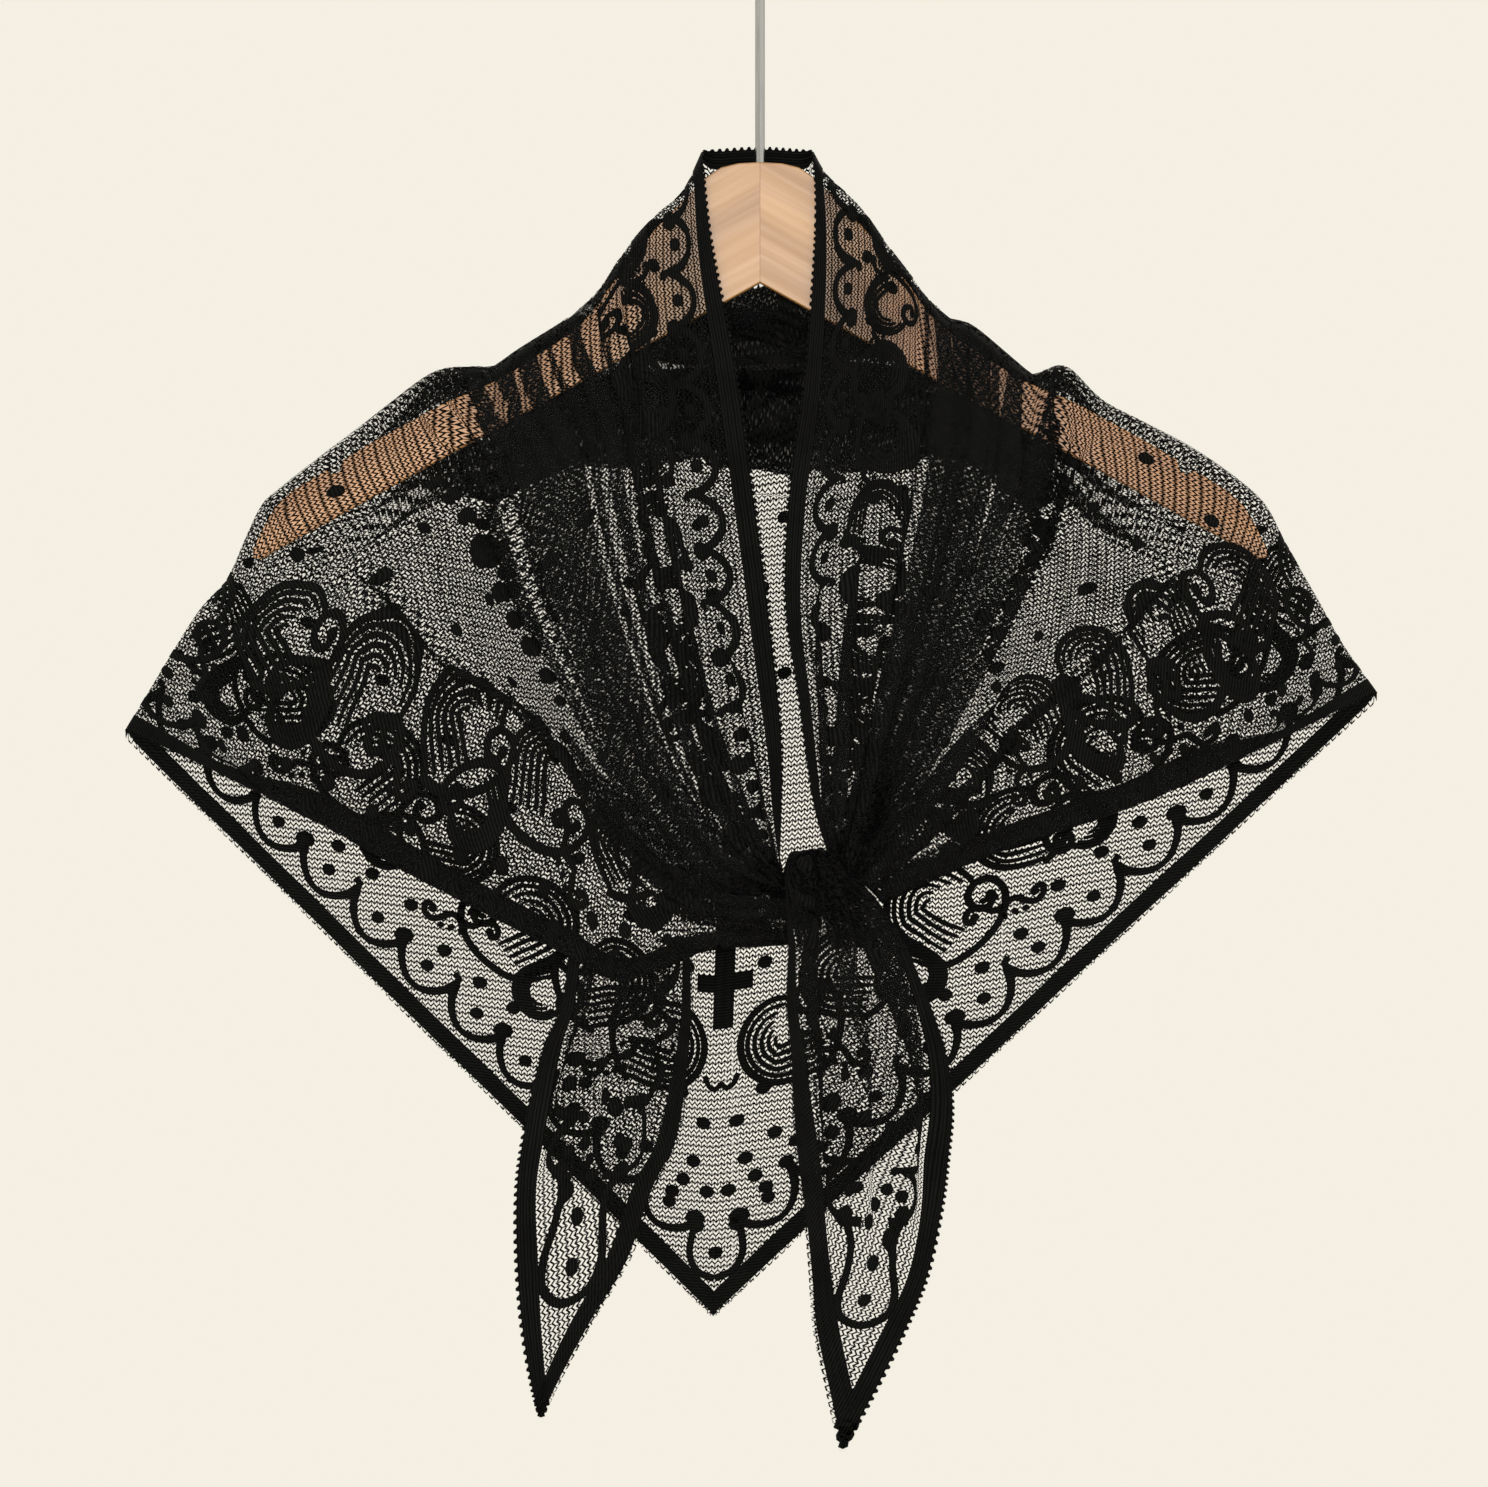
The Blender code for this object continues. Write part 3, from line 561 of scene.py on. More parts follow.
def drawEdges(lace):
    # the solid bands, with teeth along the long edge
    across = np.linspace(0.0, 1.0, 4)
    count = int(cut["half"] / edge["step"])
    s = np.linspace(0.0, cut["half"] - 2.0, count)
    drawBand(lace, [np.stack([s, edge["toothDepth"] + edge["band"] * a + 0.0 * s], axis=1) for a in across])
    count = int(legLength / edge["step"])
    l = np.linspace(0.0, legLength - 2.0, count)
    rows = []
    for a in across:
        inward = edge["rim"] + edge["band"] * a
        row = fromLeg(l, np.full(count, inward))
        row[0] = (0.0, cut["depth"] - inward / -legIn[1])
        rows.append(row[row[:, 0] >= -0.01] if a == 0 else row)
    rows = [row[-min(len(r) for r in rows):] for row in rows]
    for row in rows:
        row[:, 0] = np.maximum(row[:, 0], 0.0)
    drawBand(lace, rows)
    base, tip, deep = edge["toothBase"] / 2.0, edge["toothTip"] / 2.0, edge["toothDepth"]
    for s in np.arange(edge["toothFirst"], cut["half"] - edge["toothLast"], edge["toothPitch"]):
        lace.add([(s - base, deep), (s + base, deep), (s + tip, 0.0), (s - tip, 0.0)], [(0, 1, 2, 3)])


def drawBand(lace, rows):
    count = len(rows[0])
    for k in range(len(rows) - 1):
        first = np.arange(count - 1)
        faces = np.stack([first, first + 1, first + 1 + count, first + count], axis=1)
        lace.add(np.concatenate([rows[k], rows[k + 1]]), faces)


def drawGarland(lace, cusps, near, far, frameOf):
    # scallops hang towards the edge between cusps, which end by turns in a knob and in a small hook
    share = np.linspace(0.0, 1.0, 17)
    widths = garland["width"] * (0.85 + 0.35 * np.abs(2.0 * share - 1.0))
    for k, (start, end) in enumerate(zip(cusps, cusps[1:])):
        deep = far + garland["uneven"] * (1.0 - share if k % 2 else share)
        inward = deep - (deep - near) * np.sin(np.pi * share) ** garland["roundness"]
        lace.strip(frameOf(start + (end - start) * share, inward), widths)
        if k % 2:
            hook = np.array(garland["hook"]) + np.array([start, far])
            lace.strip(frameOf(hook[:, 0], hook[:, 1]), garland["width"])
        else:
            knobAt = np.array([start, far]) + garland["knobAt"]
            lace.spot(frameOf(knobAt[:1], knobAt[1:])[0], garland["knob"], 1.3)
        middle = frameOf(np.array([0.5 * (start + end)]), np.array([far - garland["dotUp"]]))
        lace.spot(middle[0], garland["dot"], 1.2)


def inside(points, fromLong, fromLegEdge):
    return (points[:, 1] > fromLong) & (inFromLeg(points) > fromLegEdge)


def alongLong(s, inward):
    return np.stack([s, inward + 0.0 * s], axis=1)


def drawMotifs(lace):
    drawEdges(lace)
    legCusps = np.linspace(garland["legFirst"], legLength - garland["legLast"], garland["legCount"] + 1)
    drawGarland(lace, legCusps, garland["legNear"], garland["legFar"], fromLeg)
    longCusps = np.linspace(0.0, cut["half"] - garland["legLast"], garland["longCount"] + 1)
    drawGarland(lace, longCusps, garland["longNear"], garland["longFar"], alongLong)
    drawEnds(lace)
    drawChain(lace)
    drawMiddle(lace)
    drawDots(lace)


def drawEnds(lace):
    # the loop in the point at the back, and the long loops in the two ends
    def up(point):
        return (point[0], cut["depth"] - point[1])

    def fromTip(point):
        return legTip + tipIn * point[0] + tipAcross * point[1]

    lace.strip(stepped([up(point) for point in backEnd["loop"]]), garland["width"])
    lace.spot(up(backEnd["knob"]), garland["knob"], 1.2)
    lace.spot(up(backEnd["dot"]), garland["dot"] + 0.1, 1.2)
    loop = ends["loop"] + [(d, -w) for d, w in reversed(ends["loop"][:-1])]
    lace.strip(stepped([fromTip(point) for point in loop]), garland["width"])
    for point in ends["knobs"]:
        lace.spot(fromTip(point), garland["knob"], 1.2)
    for point in ends["dots"]:
        lace.spot(fromTip(point), garland["dot"], 1.2)


def drawChain(lace):
    # a dense chain of feathers and scrolls follows the legs, and smaller ones follow the long edge
    legAngle = math.atan2(legAlong[1], legAlong[0])
    upper, lower, long, longScroll = (chain[row] for row in ("upper", "lower", "long", "longScroll"))
    for k in range(chain["count"]):
        inward = upper["inward"] + upper["sway"] * math.sin(2.1 * k)
        at = fromLeg(np.array([upper["first"] + chain["pitch"] * k]), np.array([inward]))[0]
        if at[0] > chain["pointClear"]:
            drawFeather(lace, at, legAngle + chain["upperTurns"][k % 4], upper["sizes"][k % 4], -1.0)
        inward = lower["inward"] + lower["sway"] * math.cos(1.7 * k)
        at = fromLeg(np.array([lower["first"] + chain["pitch"] * k]), np.array([inward]))[0]
        if k % 2:
            drawFeather(lace, at, legAngle + 2.7 + 0.3 * (k % 3), lower["feather"], -1.0)
        else:
            drawScroll(lace, at, legAngle + 0.5 - 0.3 * (k % 3), lower["scroll"], -1.0)
    for k in range(chain["count"]):
        inward = long["inward"] + long["sway"] * math.sin(1.9 * k)
        at = np.array([[long["first"] + chain["longPitch"] * k, inward]])
        if inFromLeg(at)[0] > chain["legClear"]:
            drawFeather(lace, at[0], long["turns"][k % 3], long["feather"], 1.0 if k % 2 else -1.0)
        at = np.array([[longScroll["first"] + chain["longPitch"] * k, longScroll["inward"]]])
        if inFromLeg(at)[0] > chain["legClear"]:
            drawScroll(lace, at[0], 1.1 + 0.5 * (k % 2), longScroll["size"], 1.0)


def drawMiddle(lace):
    # the upright bar of the back with its crossbar, a feather beside it, a bracket, and the chain of pearls
    low = cut["depth"] - middleBar["lowEnd"]
    t = np.linspace(low - middleBar["length"], low, 32)
    drawBand(lace, [np.stack([0.0 * t + w, t], axis=1) for w in (0.0, middleBar["half"])])
    s = np.linspace(middleBar["half"], middleBar["crossReach"], 5)
    drawBand(lace, [np.stack([s, 0.0 * s + low - d], axis=1) for d in middleBar["crossRows"]])
    aside, up = middleBar["feather"]
    drawFeather(lace, (aside, low + up), middleBar["featherTurn"], middleBar["featherSize"], -1.0)
    bracket = stepped([(x, low + y) for x, y in middleBar["bracket"]])
    lace.strip(bracket, middleBar["bracketWidth"])
    lead = np.array(pearls["lead"])
    for step, radius in pearls["row"]:
        lace.spot(np.array(pearls["at"]) + lead * step, radius, 1.05, 0.3)
        lace.spot(np.array(pearls["behind"]) + lead * step, radius * 0.7, 1.3, 0.1)


def drawDots(lace):
    scatter = np.random.default_rng(7)
    for inward, apart, start in dots["rows"]:
        for l in np.arange(dots["rowFirst"] + start, legLength - dots["rowLast"], apart):
            jitter = scatter.uniform(-dots["rowJitter"], dots["rowJitter"], 2)
            at = fromLeg(np.array([l + jitter[0]]), np.array([inward + jitter[1]]))
            if at[0, 0] > 1.0 and at[0, 1] > 30.0:
                lace.spot(at[0], garland["dot"] + 0.15, 1.2, scatter.uniform(0.0, 0.6))
    for t in np.arange(dots["gridLow"], dots["gridHigh"], dots["down"]):
        first = 6.0 + dots["stagger"] * (int(t / dots["down"]) % 2)
        for s in np.arange(first, dots["gridHigh"], dots["aside"]):
            jitter = scatter.uniform(-dots["jitter"], dots["jitter"], 2)
            at = np.array([[s + jitter[0], t + jitter[1]]])
            fromFold = abs((at[0] - nape) @ foldAcross)
            clear = fromFold > dots["foldClear"] or t > dots["foldBelow"]
            if inside(at, dots["longClear"], dots["legClear"])[0] and at[0, 0] > 1.0 and clear:
                lace.spot(at[0], garland["dot"] + 0.1, 1.2, scatter.uniform(0.0, 0.6))
    for s, up in backEnd["dots"]:
        lace.spot((s, cut["depth"] - up), garland["dot"] + 0.1, 1.25)


def netStrips():
    # wavy lines parallel to the long edge, tied to each other at every second crest
    points, faces = [], []
    count = 0
    for k, t in enumerate(np.arange(0.5, cut["depth"], net["pitch"])):
        reach = cut["half"] * (1.0 - t / cut["depth"]) + net["half"]
        s = np.arange(-int(reach / net["half"]), int(reach / net["half"]) + 1) * net["half"]
        crest = np.where(np.round(s / net["half"]).astype(int) % 2 == 0, 1.0, -1.0)
        middle = t + net["swing"] * crest
        n = len(s)
        upper = np.stack([s, middle - net["width"] / 2.0], axis=1)
        lower = np.stack([s, middle + net["width"] / 2.0], axis=1)
        first = np.arange(n - 1)
        points.append(np.concatenate([upper, lower]))
        faces.append(np.stack([first, first + 1, first + 1 + n, first + n], axis=1) + count)
        count += 2 * n
        tied = s[(crest > 0) if k % 2 else (crest < 0)]
        sign = 1.0 if k % 2 else -1.0
        top = t + net["swing"] * sign + net["width"] * 0.4
        low = t + net["pitch"] + net["swing"] * sign - net["width"] * 0.4
        w = net["tie"] / 2.0
        corners = ((-w, top), (w, top), (w, low), (-w, low))
        points.append(np.concatenate([np.stack([tied + a, 0.0 * tied + b], axis=1) for a, b in corners]))
        first = np.arange(len(tied))
        faces.append(np.stack([first + m * len(tied) for m in range(4)], axis=1) + count)
        count += 4 * len(tied)
    return np.concatenate(points), np.concatenate(faces)


def readFlat(sheet, points):
    # where flat points lie on a sheet: across and down, and whether they are on it at all
    tops, bottoms = sheet["tops"], sheet["bottoms"]
    lead = unit(bottoms - tops)
    found = np.zeros((len(points), 2))
    on = np.zeros(len(points), bool)
    margin = 3.0
    low = np.minimum(tops.min(axis=0), bottoms.min(axis=0)) - margin
    high = np.maximum(tops.max(axis=0), bottoms.max(axis=0)) + margin
    near = np.nonzero(((points >= low) & (points <= high)).all(axis=1))[0]
    for part in np.array_split(near, max(1, len(near) // 20000)):
        p = points[part]
        away = p[:, None, :] - tops[None, :, :]
        offset = (away[..., 0] * lead[None, :, 1] - away[..., 1] * lead[None, :, 0]) * sheet["sense"]
        past = offset >= 0.0
        index = np.clip(past.sum(axis=1) - 1, 0, len(tops) - 2)
        rows = np.arange(len(part))
        a, b = offset[rows, index], offset[rows, index + 1]
        share = a / np.where(np.abs(a - b) < 1e-9, 1e-9, a - b)
        top = between(tops[index], tops[index + 1], share[:, None])
        low = between(bottoms[index], bottoms[index + 1], share[:, None])
        down = ((p - top) * (low - top)).sum(axis=1) / np.maximum(((low - top) ** 2).sum(axis=1), 1e-9)
        found[part] = np.stack([(index + share) / (len(tops) - 1), down], axis=1)
        reach = np.linalg.norm(low - top, axis=1)
        over = np.minimum(0.0, np.minimum(down, 1.0 - down)) * reach
        on[part] = (share >= -1e-6) & (share <= 1.0 + 1e-6) & (over >= -edge["overlap"])
    return found, on


def layOn(sheet, points, faces):
    # the faces that lie on the sheet, with their points in place
    middles = points[faces].mean(axis=1)
    found, on = readFlat(sheet, middles)
    faces = faces[on]
    used, faces = np.unique(faces, return_inverse=True)
    faces = faces.reshape(-1, 4)
    flat = points[used]
    where, _ = readFlat(sheet, flat)
    return readGrid(sheet["form"], where[:, 0], where[:, 1]), flat, faces


flatShift = np.array([0.7, 0.1])  # m, which keeps the flat cut's coordinates above nought for the weave


def meshPiece(name, points, flat, faces, finish):
    mesh = bpy.data.meshes.new(name)
    mesh.vertices.add(len(points))
    mesh.vertices.foreach_set("co", points.astype(np.float32).ravel())
    mesh.loops.add(faces.size)
    mesh.loops.foreach_set("vertex_index", faces.astype(np.int32).ravel())
    mesh.polygons.add(len(faces))
    mesh.polygons.foreach_set("loop_start", np.arange(0, faces.size, 4, dtype=np.int32))
    mesh.update(calc_edges=True)
    layer = mesh.uv_layers.new(name="flatCut")
    uv = (flat * mm + flatShift)[faces.ravel()]
    layer.data.foreach_set("uv", uv.astype(np.float32).ravel())
    mesh.validate()
    mesh.shade_smooth()
    mesh.materials.append(finish)
    piece = bpy.data.objects.new(name, mesh)
    bpy.context.scene.collection.objects.link(piece)
    return piece


class Wire:
    # a shader socket that can be added, multiplied and so on like a number
    def __init__(self, tree, socket=None):
        self.tree = tree
        self.socket = socket

    def node(self, kind, settings=None, sockets=None, output=0):
        made = self.tree.nodes.new(kind)
        for name, value in (settings or {}).items():
            if name == "stops":
                for stop, (at, colour) in zip(made.color_ramp.elements, value):
                    stop.position = at
                    stop.color = colour
            else:
                setattr(made, name, value)
        for name, value in (sockets or {}).items():
            if isinstance(value, Wire):
                self.tree.links.new(value.socket, made.inputs[name])
            else:
                made.inputs[name].default_value = value
        return Wire(self.tree, made.outputs[output])

    def math(self, operation, first, second=0.0):
        return self.node("ShaderNodeMath", {"operation": operation}, {0: first, 1: second})

    def __add__(self, other):
        return self.math("ADD", self, other)

    __radd__ = __add__

    def __sub__(self, other):
        return self.math("SUBTRACT", self, other)

    def __rsub__(self, other):
        return self.math("SUBTRACT", other, self)

    def __mul__(self, other):
        return self.math("MULTIPLY", self, other)

    __rmul__ = __mul__

    def colour(self, dark, light):
        return self.node(
            "ShaderNodeMix", {"data_type": "RGBA"}, {0: self, 6: (*dark, 1.0), 7: (*light, 1.0)}, output=2)


def newFinish(name, values):
    made = bpy.data.materials.new(name)
    made.use_nodes = True
    shader = made.node_tree.nodes["Principled BSDF"]
    for socket, value in values.items():
        shader.inputs[socket].default_value = value
    return made, Wire(made.node_tree), shader


def join(wire, shader, socket):
    wire.tree.links.new(wire.socket, shader.inputs[socket])


thread = {  # the yarn and worn places are noise, so many to the metre; light is a painted highlight, the colour of lit knit crests
    "dark": (0.0006, 0.0006, 0.0005), "light": (0.0060, 0.0063, 0.0057), "gloss": 0.05, "sheen": 0.005,
    "roughFrom": 0.71, "roughBy": 0.18, "yarn": 700.0, "worn": 60.0, "waver": 1.2,
}


def laceFinish(name, rows, rowDepth, crestHighlightAndWearShare):
    # rows of knitting run along the long edge: their crests get a painted highlight in the colour, and the
    # yarn varies along them
    made, w, shader = newFinish(name, {
        "Sheen Weight": thread["sheen"], "Sheen Roughness": 0.5, "Specular IOR Level": thread["gloss"]})
    flat = w.node("ShaderNodeUVMap", {"uv_map": "flatCut"})
    yarn = w.node("ShaderNodeTexNoise", sockets={"Vector": flat, "Scale": thread["yarn"], "Detail": 3.0})
    worn = w.node("ShaderNodeTexNoise", sockets={"Vector": flat, "Scale": thread["worn"], "Detail": 2.0})
    knitted = {"Vector": flat, "Scale": rows, "Distortion": thread["waver"]}
    crests = w.node("ShaderNodeTexWave", {"bands_direction": "Y"}, knitted, output=1)
    # painted highlight: the knit crests, with yarn and wear noise, mix the colour towards the thread's light
    # tone
    light = yarn * crests * worn * (4.0 * crestHighlightAndWearShare)
    join(light.colour(thread["dark"], thread["light"]), shader, "Base Color")
    join(yarn * thread["roughBy"] + thread["roughFrom"], shader, "Roughness")
    bumped = w.node("ShaderNodeBump", sockets={"Strength": 0.6, "Distance": rowDepth, "Height": crests})
    join(bumped, shader, "Normal")
    return made


haze = {  # a see-through sheet under the threads, for gathered cloth and partly painted shade of the shawl's shadow behind it: its colours where little and where much cloth is gathered
    "thin": (0.018, 0.0185, 0.0190), "thick": (0.0010, 0.0010, 0.0010), "thickFrom": 5.0,
    "flat": 0.06, "each": 0.12, "most": 0.7, "cloud": 40.0,
}


def hazeFinish():
    # how much cloth is gathered at a point says how much of what is behind the sheet hides; its even, noisy
    # share is painted shade for the shawl's shadow behind it
    made, w, shader = newFinish(
        "net haze with painted shade", {"Specular IOR Level": thread["gloss"], "Roughness": 0.9})
    flat = w.node("ShaderNodeUVMap", {"uv_map": "flatCut"})
    cloudy = w.node("ShaderNodeTexNoise", sockets={"Vector": flat, "Scale": haze["cloud"], "Detail": 2.0})
    gathered = w.node("ShaderNodeAttribute", {"attribute_name": "gathered"}, output=2)
    thick = w.math("MINIMUM", gathered * (1.0 / haze["thickFrom"]), 1.0)
    join(thick.colour(haze["thin"], haze["thick"]), shader, "Base Color")
    # painted shade: the sheet's alpha darkens what shows through the holes, partly as gathered cloth and
    # partly as the shawl's shadow behind it
    hides = w.math("MINIMUM", cloudy * haze["flat"] + gathered * haze["each"], haze["most"])
    join(hides, shader, "Alpha")
    return made


wood = {  # the arms' colours are lighter than the crown's as painted light, to make up for the shade the net casts on them; grain and rings are noise, to the metre each way
    "slope": math.radians(29.0), "roughFrom": 0.32, "roughBy": 0.2, "crownHalf": 0.03, "blend": 0.04,
    "crownPale": (0.375, 0.198, 0.066), "crownDeep": (0.22, 0.098, 0.028),
    "armPalePaintedLight": (0.68, 0.33, 0.12), "armDeepPaintedLight": (0.42, 0.175, 0.055),
    "grain": (9.0, 60.0, 300.0), "grainSide": 3.7, "rings": (3.0, 12.0, 75.0), "ringsSide": 9.1,
    "grainShare": 0.7, "ringsShare": 1.8, "toneFrom": -0.85, "seamShare": 0.6, "seamHalf": 0.00022,
}


def woodFinish():
    # the grain follows each arm and meets in a chevron at the middle seam
    made, w, shader = newFinish("pale lacquered wood", {"Coat Weight": 0.1, "Coat Roughness": 0.3})
    spot = w.node("ShaderNodeTexCoord", output=3)
    x, y, z = (w.node("ShaderNodeSeparateXYZ", sockets={0: spot}, output=k) for k in range(3))
    out = w.math("ABSOLUTE", x)
    c, s = math.cos(wood["slope"]), math.sin(wood["slope"])
    armAlong = out * c - z * s
    armAcross = out * s + z * c
    side = w.math("GREATER_THAN", x, 0.0)

    def streaks(pitch, aside, settings):
        places = {0: armAlong * pitch[0] + side * aside, 1: y * pitch[1], 2: armAcross * pitch[2]}
        where = w.node("ShaderNodeCombineXYZ", sockets=places)
        return w.node("ShaderNodeTexNoise", sockets={"Vector": where, "Scale": 1.0, **settings})

    fine = streaks(wood["grain"], wood["grainSide"], {"Detail": 5.0, "Roughness": 0.6})
    rings = streaks(wood["rings"], wood["ringsSide"], {"Detail": 1.0})
    seam = w.math("LESS_THAN", out, wood["seamHalf"])
    tone = fine * wood["grainShare"] + rings * wood["ringsShare"] + wood["toneFrom"]
    tone = w.math("MINIMUM", tone + seam * wood["seamShare"], 1.0)
    # painted light: the arms get lighter colours than the crown, to offset the shade the net casts on them
    paintedLightOnArm = w.math("MAXIMUM", (out - wood["crownHalf"]) * (1.0 / wood["blend"]), 0.0)
    crown = tone.colour(wood["crownPale"], wood["crownDeep"])
    armWithPaintedLight = tone.colour(wood["armPalePaintedLight"], wood["armDeepPaintedLight"])
    both = {0: w.math("MINIMUM", paintedLightOnArm, 1.0), 6: crown, 7: armWithPaintedLight}
    join(w.node("ShaderNodeMix", {"data_type": "RGBA"}, both, output=2), shader, "Base Color")
    join(fine * wood["roughBy"] + wood["roughFrom"], shader, "Roughness")
    bumped = w.node("ShaderNodeBump", sockets={"Strength": 0.15, "Distance": 0.0002, "Height": fine - seam})
    join(bumped, shader, "Normal")
    return made


steel = {  # streaks are noise, so many to the metre each way, drawn out along the stem
    "dark": (0.26, 0.26, 0.26), "light": (0.44, 0.44, 0.43), "streaks": (900.0, 900.0, 60.0),
    "roughFrom": 0.16, "roughBy": 0.2,
}


def steelFinish():
    made, w, shader = newFinish("plain steel wire", {"Metallic": 1.0})
    spot = w.node("ShaderNodeTexCoord", output=3)
    drawn = w.node("ShaderNodeMapping", sockets={"Vector": spot, "Scale": steel["streaks"]})
    streaks = w.node("ShaderNodeTexNoise", sockets={"Vector": drawn, "Scale": 1.0, "Detail": 3.0})
    join(streaks.colour(steel["dark"], steel["light"]), shader, "Base Color")
    join(streaks * steel["roughBy"] + steel["roughFrom"], shader, "Roughness")
    return made


laceNet = laceFinish("black net thread", 900.0, 0.0001, 0.7)
laceMotif = laceFinish("black knitted lace", 260.0, 0.0004, 0.9)
laceHaze = hazeFinish()
print("finishes ready")

backSheet = {
    "columns": 110, "nape": 16, "rows": 420,
    "zone": 85.5, "zoneHalf": 39.0, "zoneBelow": 22.0, "ramp": 0.2, "overlap": 2.4, "haze": 6.0,
    "looseLeast": 0.25, "looseFrom": 195.0, "looseOver": 85.0, "leastHalf": 170.0,
    "sway": 1.2, "swayPitch": 29.0, "uneven": 0.15, "unevenPitch": 17.0, "liftShare": 0.4, "liftMost": 1.3,
    "folds": [  # mm from the middle of the zone: top, bottom, strength and, for one, its least lap
        (-39.0, -17.0, 1.15), (-17.0, 2.0, 1.15), (2.0, 12.5, 0.75), (12.5, 26.0, 1.2), (24.0, 39.0, 1.1),
        (-27.0, -8.0, 0.6), (51.5, 58.5, 0.9, 1.6),
    ],
}
frontSheet = {
    "across": 420, "down": 260,
    "top": {  # where the cloth lies at the fold over the hanger, and below it
        "left": [
            (0.0, 0.0), (0.12, 0.13), (0.20, 0.21), (0.34, 0.30), (0.56, 0.45), (0.81, 0.80), (1.0, 1.0),
        ],
        "right": [
            (0.0, 0.0), (0.12, 0.13), (0.20, 0.21), (0.34, 0.28), (0.54, 0.39), (0.66, 0.54), (0.81, 0.80),
            (1.0, 1.0),
        ],
    },
    "spread": {
        "left": [
            (0.0, 0.0), (0.04, 0.045), (0.13, 0.125), (0.34, 0.24), (0.56, 0.365), (0.75, 0.64),
            (0.91, 0.95), (1.0, 1.0),
        ],
        "right": [
            (0.0, 0.0), (0.04, 0.045), (0.16, 0.15), (0.25, 0.24), (0.43, 0.33), (0.62, 0.475),
            (0.79, 0.715), (0.91, 0.95), (1.0, 1.0),
        ],
    },
    "spreadOver": 0.25, "rise": 1.7, "reachFrom": 0.8, "reachOver": 0.2,
    "pleats": {  # across the cut: start, end, strength and, for some, how far down it begins
        "left": [
            (0.125, 0.18, 0.9), (0.18, 0.225, 1.2), (0.225, 0.29, 1.3), (0.29, 0.335, 1.1),
            (0.335, 0.40, 1.35), (0.40, 0.455, 1.2), (0.455, 0.525, 1.3), (0.515, 0.565, 0.8),
            (0.555, 0.61, 1.1), (0.045, 0.115, 1.0, 0.5), (0.62, 0.70, 1.3, 0.5), (0.70, 0.76, 1.3, 0.45),
            (0.76, 0.84, 1.5, 0.6), (0.84, 0.91, 1.5, 0.6), (0.915, 0.998, 1.3, 0.1),
        ],
        "right": [
            (0.20, 0.255, 1.0), (0.255, 0.32, 1.3), (0.32, 0.365, 1.3), (0.365, 0.43, 1.4),
            (0.43, 0.475, 1.2), (0.475, 0.54, 1.35), (0.54, 0.605, 1.3), (0.60, 0.66, 1.1),
            (0.045, 0.12, 1.0, 0.5), (0.12, 0.20, 1.2, 0.4), (0.68, 0.76, 1.3, 0.5),
            (0.76, 0.83, 1.4, 0.55), (0.83, 0.91, 1.5, 0.6), (0.915, 0.998, 1.3, 0.15),
        ],
    },
    "creases": {  # mm out and drop of the points each runs through, half its width across, its lap
        "left": [
            ([(-177.5, 163.0), (-132.0, 206.0), (-79.1, 252.2)], 0.018, 4.4),
            ([(-98.0, 132.0), (-90.0, 163.0), (-81.0, 191.0)], 0.016, 3.8),
            ([(-112.0, 128.0), (-104.0, 165.0), (-92.0, 198.0)], 0.016, 4.0),
        ],
        "right": [
            ([(182.0, 164.0), (140.0, 206.0), (90.2, 257.1)], 0.018, 4.4),
            ([(118.0, 99.0), (111.0, 128.0), (103.3, 155.0)], 0.016, 3.8),
            ([(128.5, 106.0), (118.0, 148.0), (105.8, 191.0)], 0.016, 4.0),
        ],
    },
}
tailSheet = {  # the two ends, and the stretch over the knot, which is the cloth above the right one
    "across": 200, "down": 240, "wrapDown": 120, "wrapLength": 60.0, "tip": 3.0, "rise": 1.5,
    "pleats": {
        "left": [(0.05, 0.30, 0.7), (0.34, 0.58, 0.8), (0.62, 0.90, 0.8)],
        "right": [(0.06, 0.30, 0.8), (0.36, 0.60, 0.9), (0.62, 0.96, 1.0)],
    },
    "reachEnd": 0.72, "reachOver": 0.3, "wrapReach": 1.2, "haze": 0.6, "wrapHaze": 2.0,
}


def smoothSpread(side):
    # from where the cloth lies along the fold to where it lies lower down
    def read(table, across):
        dense = curveValue(np.array(table), np.linspace(0.0, len(table) - 1.0, 200))
        return np.interp(across, dense[:, 0], dense[:, 1])[:, None]

    def spread(across, down):
        high, low = read(frontSheet["top"][side], across), read(frontSheet["spread"][side], across)
        return between(high, low, ease(down / frontSheet["spreadOver"])[None, :])

    return spread


def evenSpread(across, down):
    return across[:, None] + 0.0 * down[None, :]


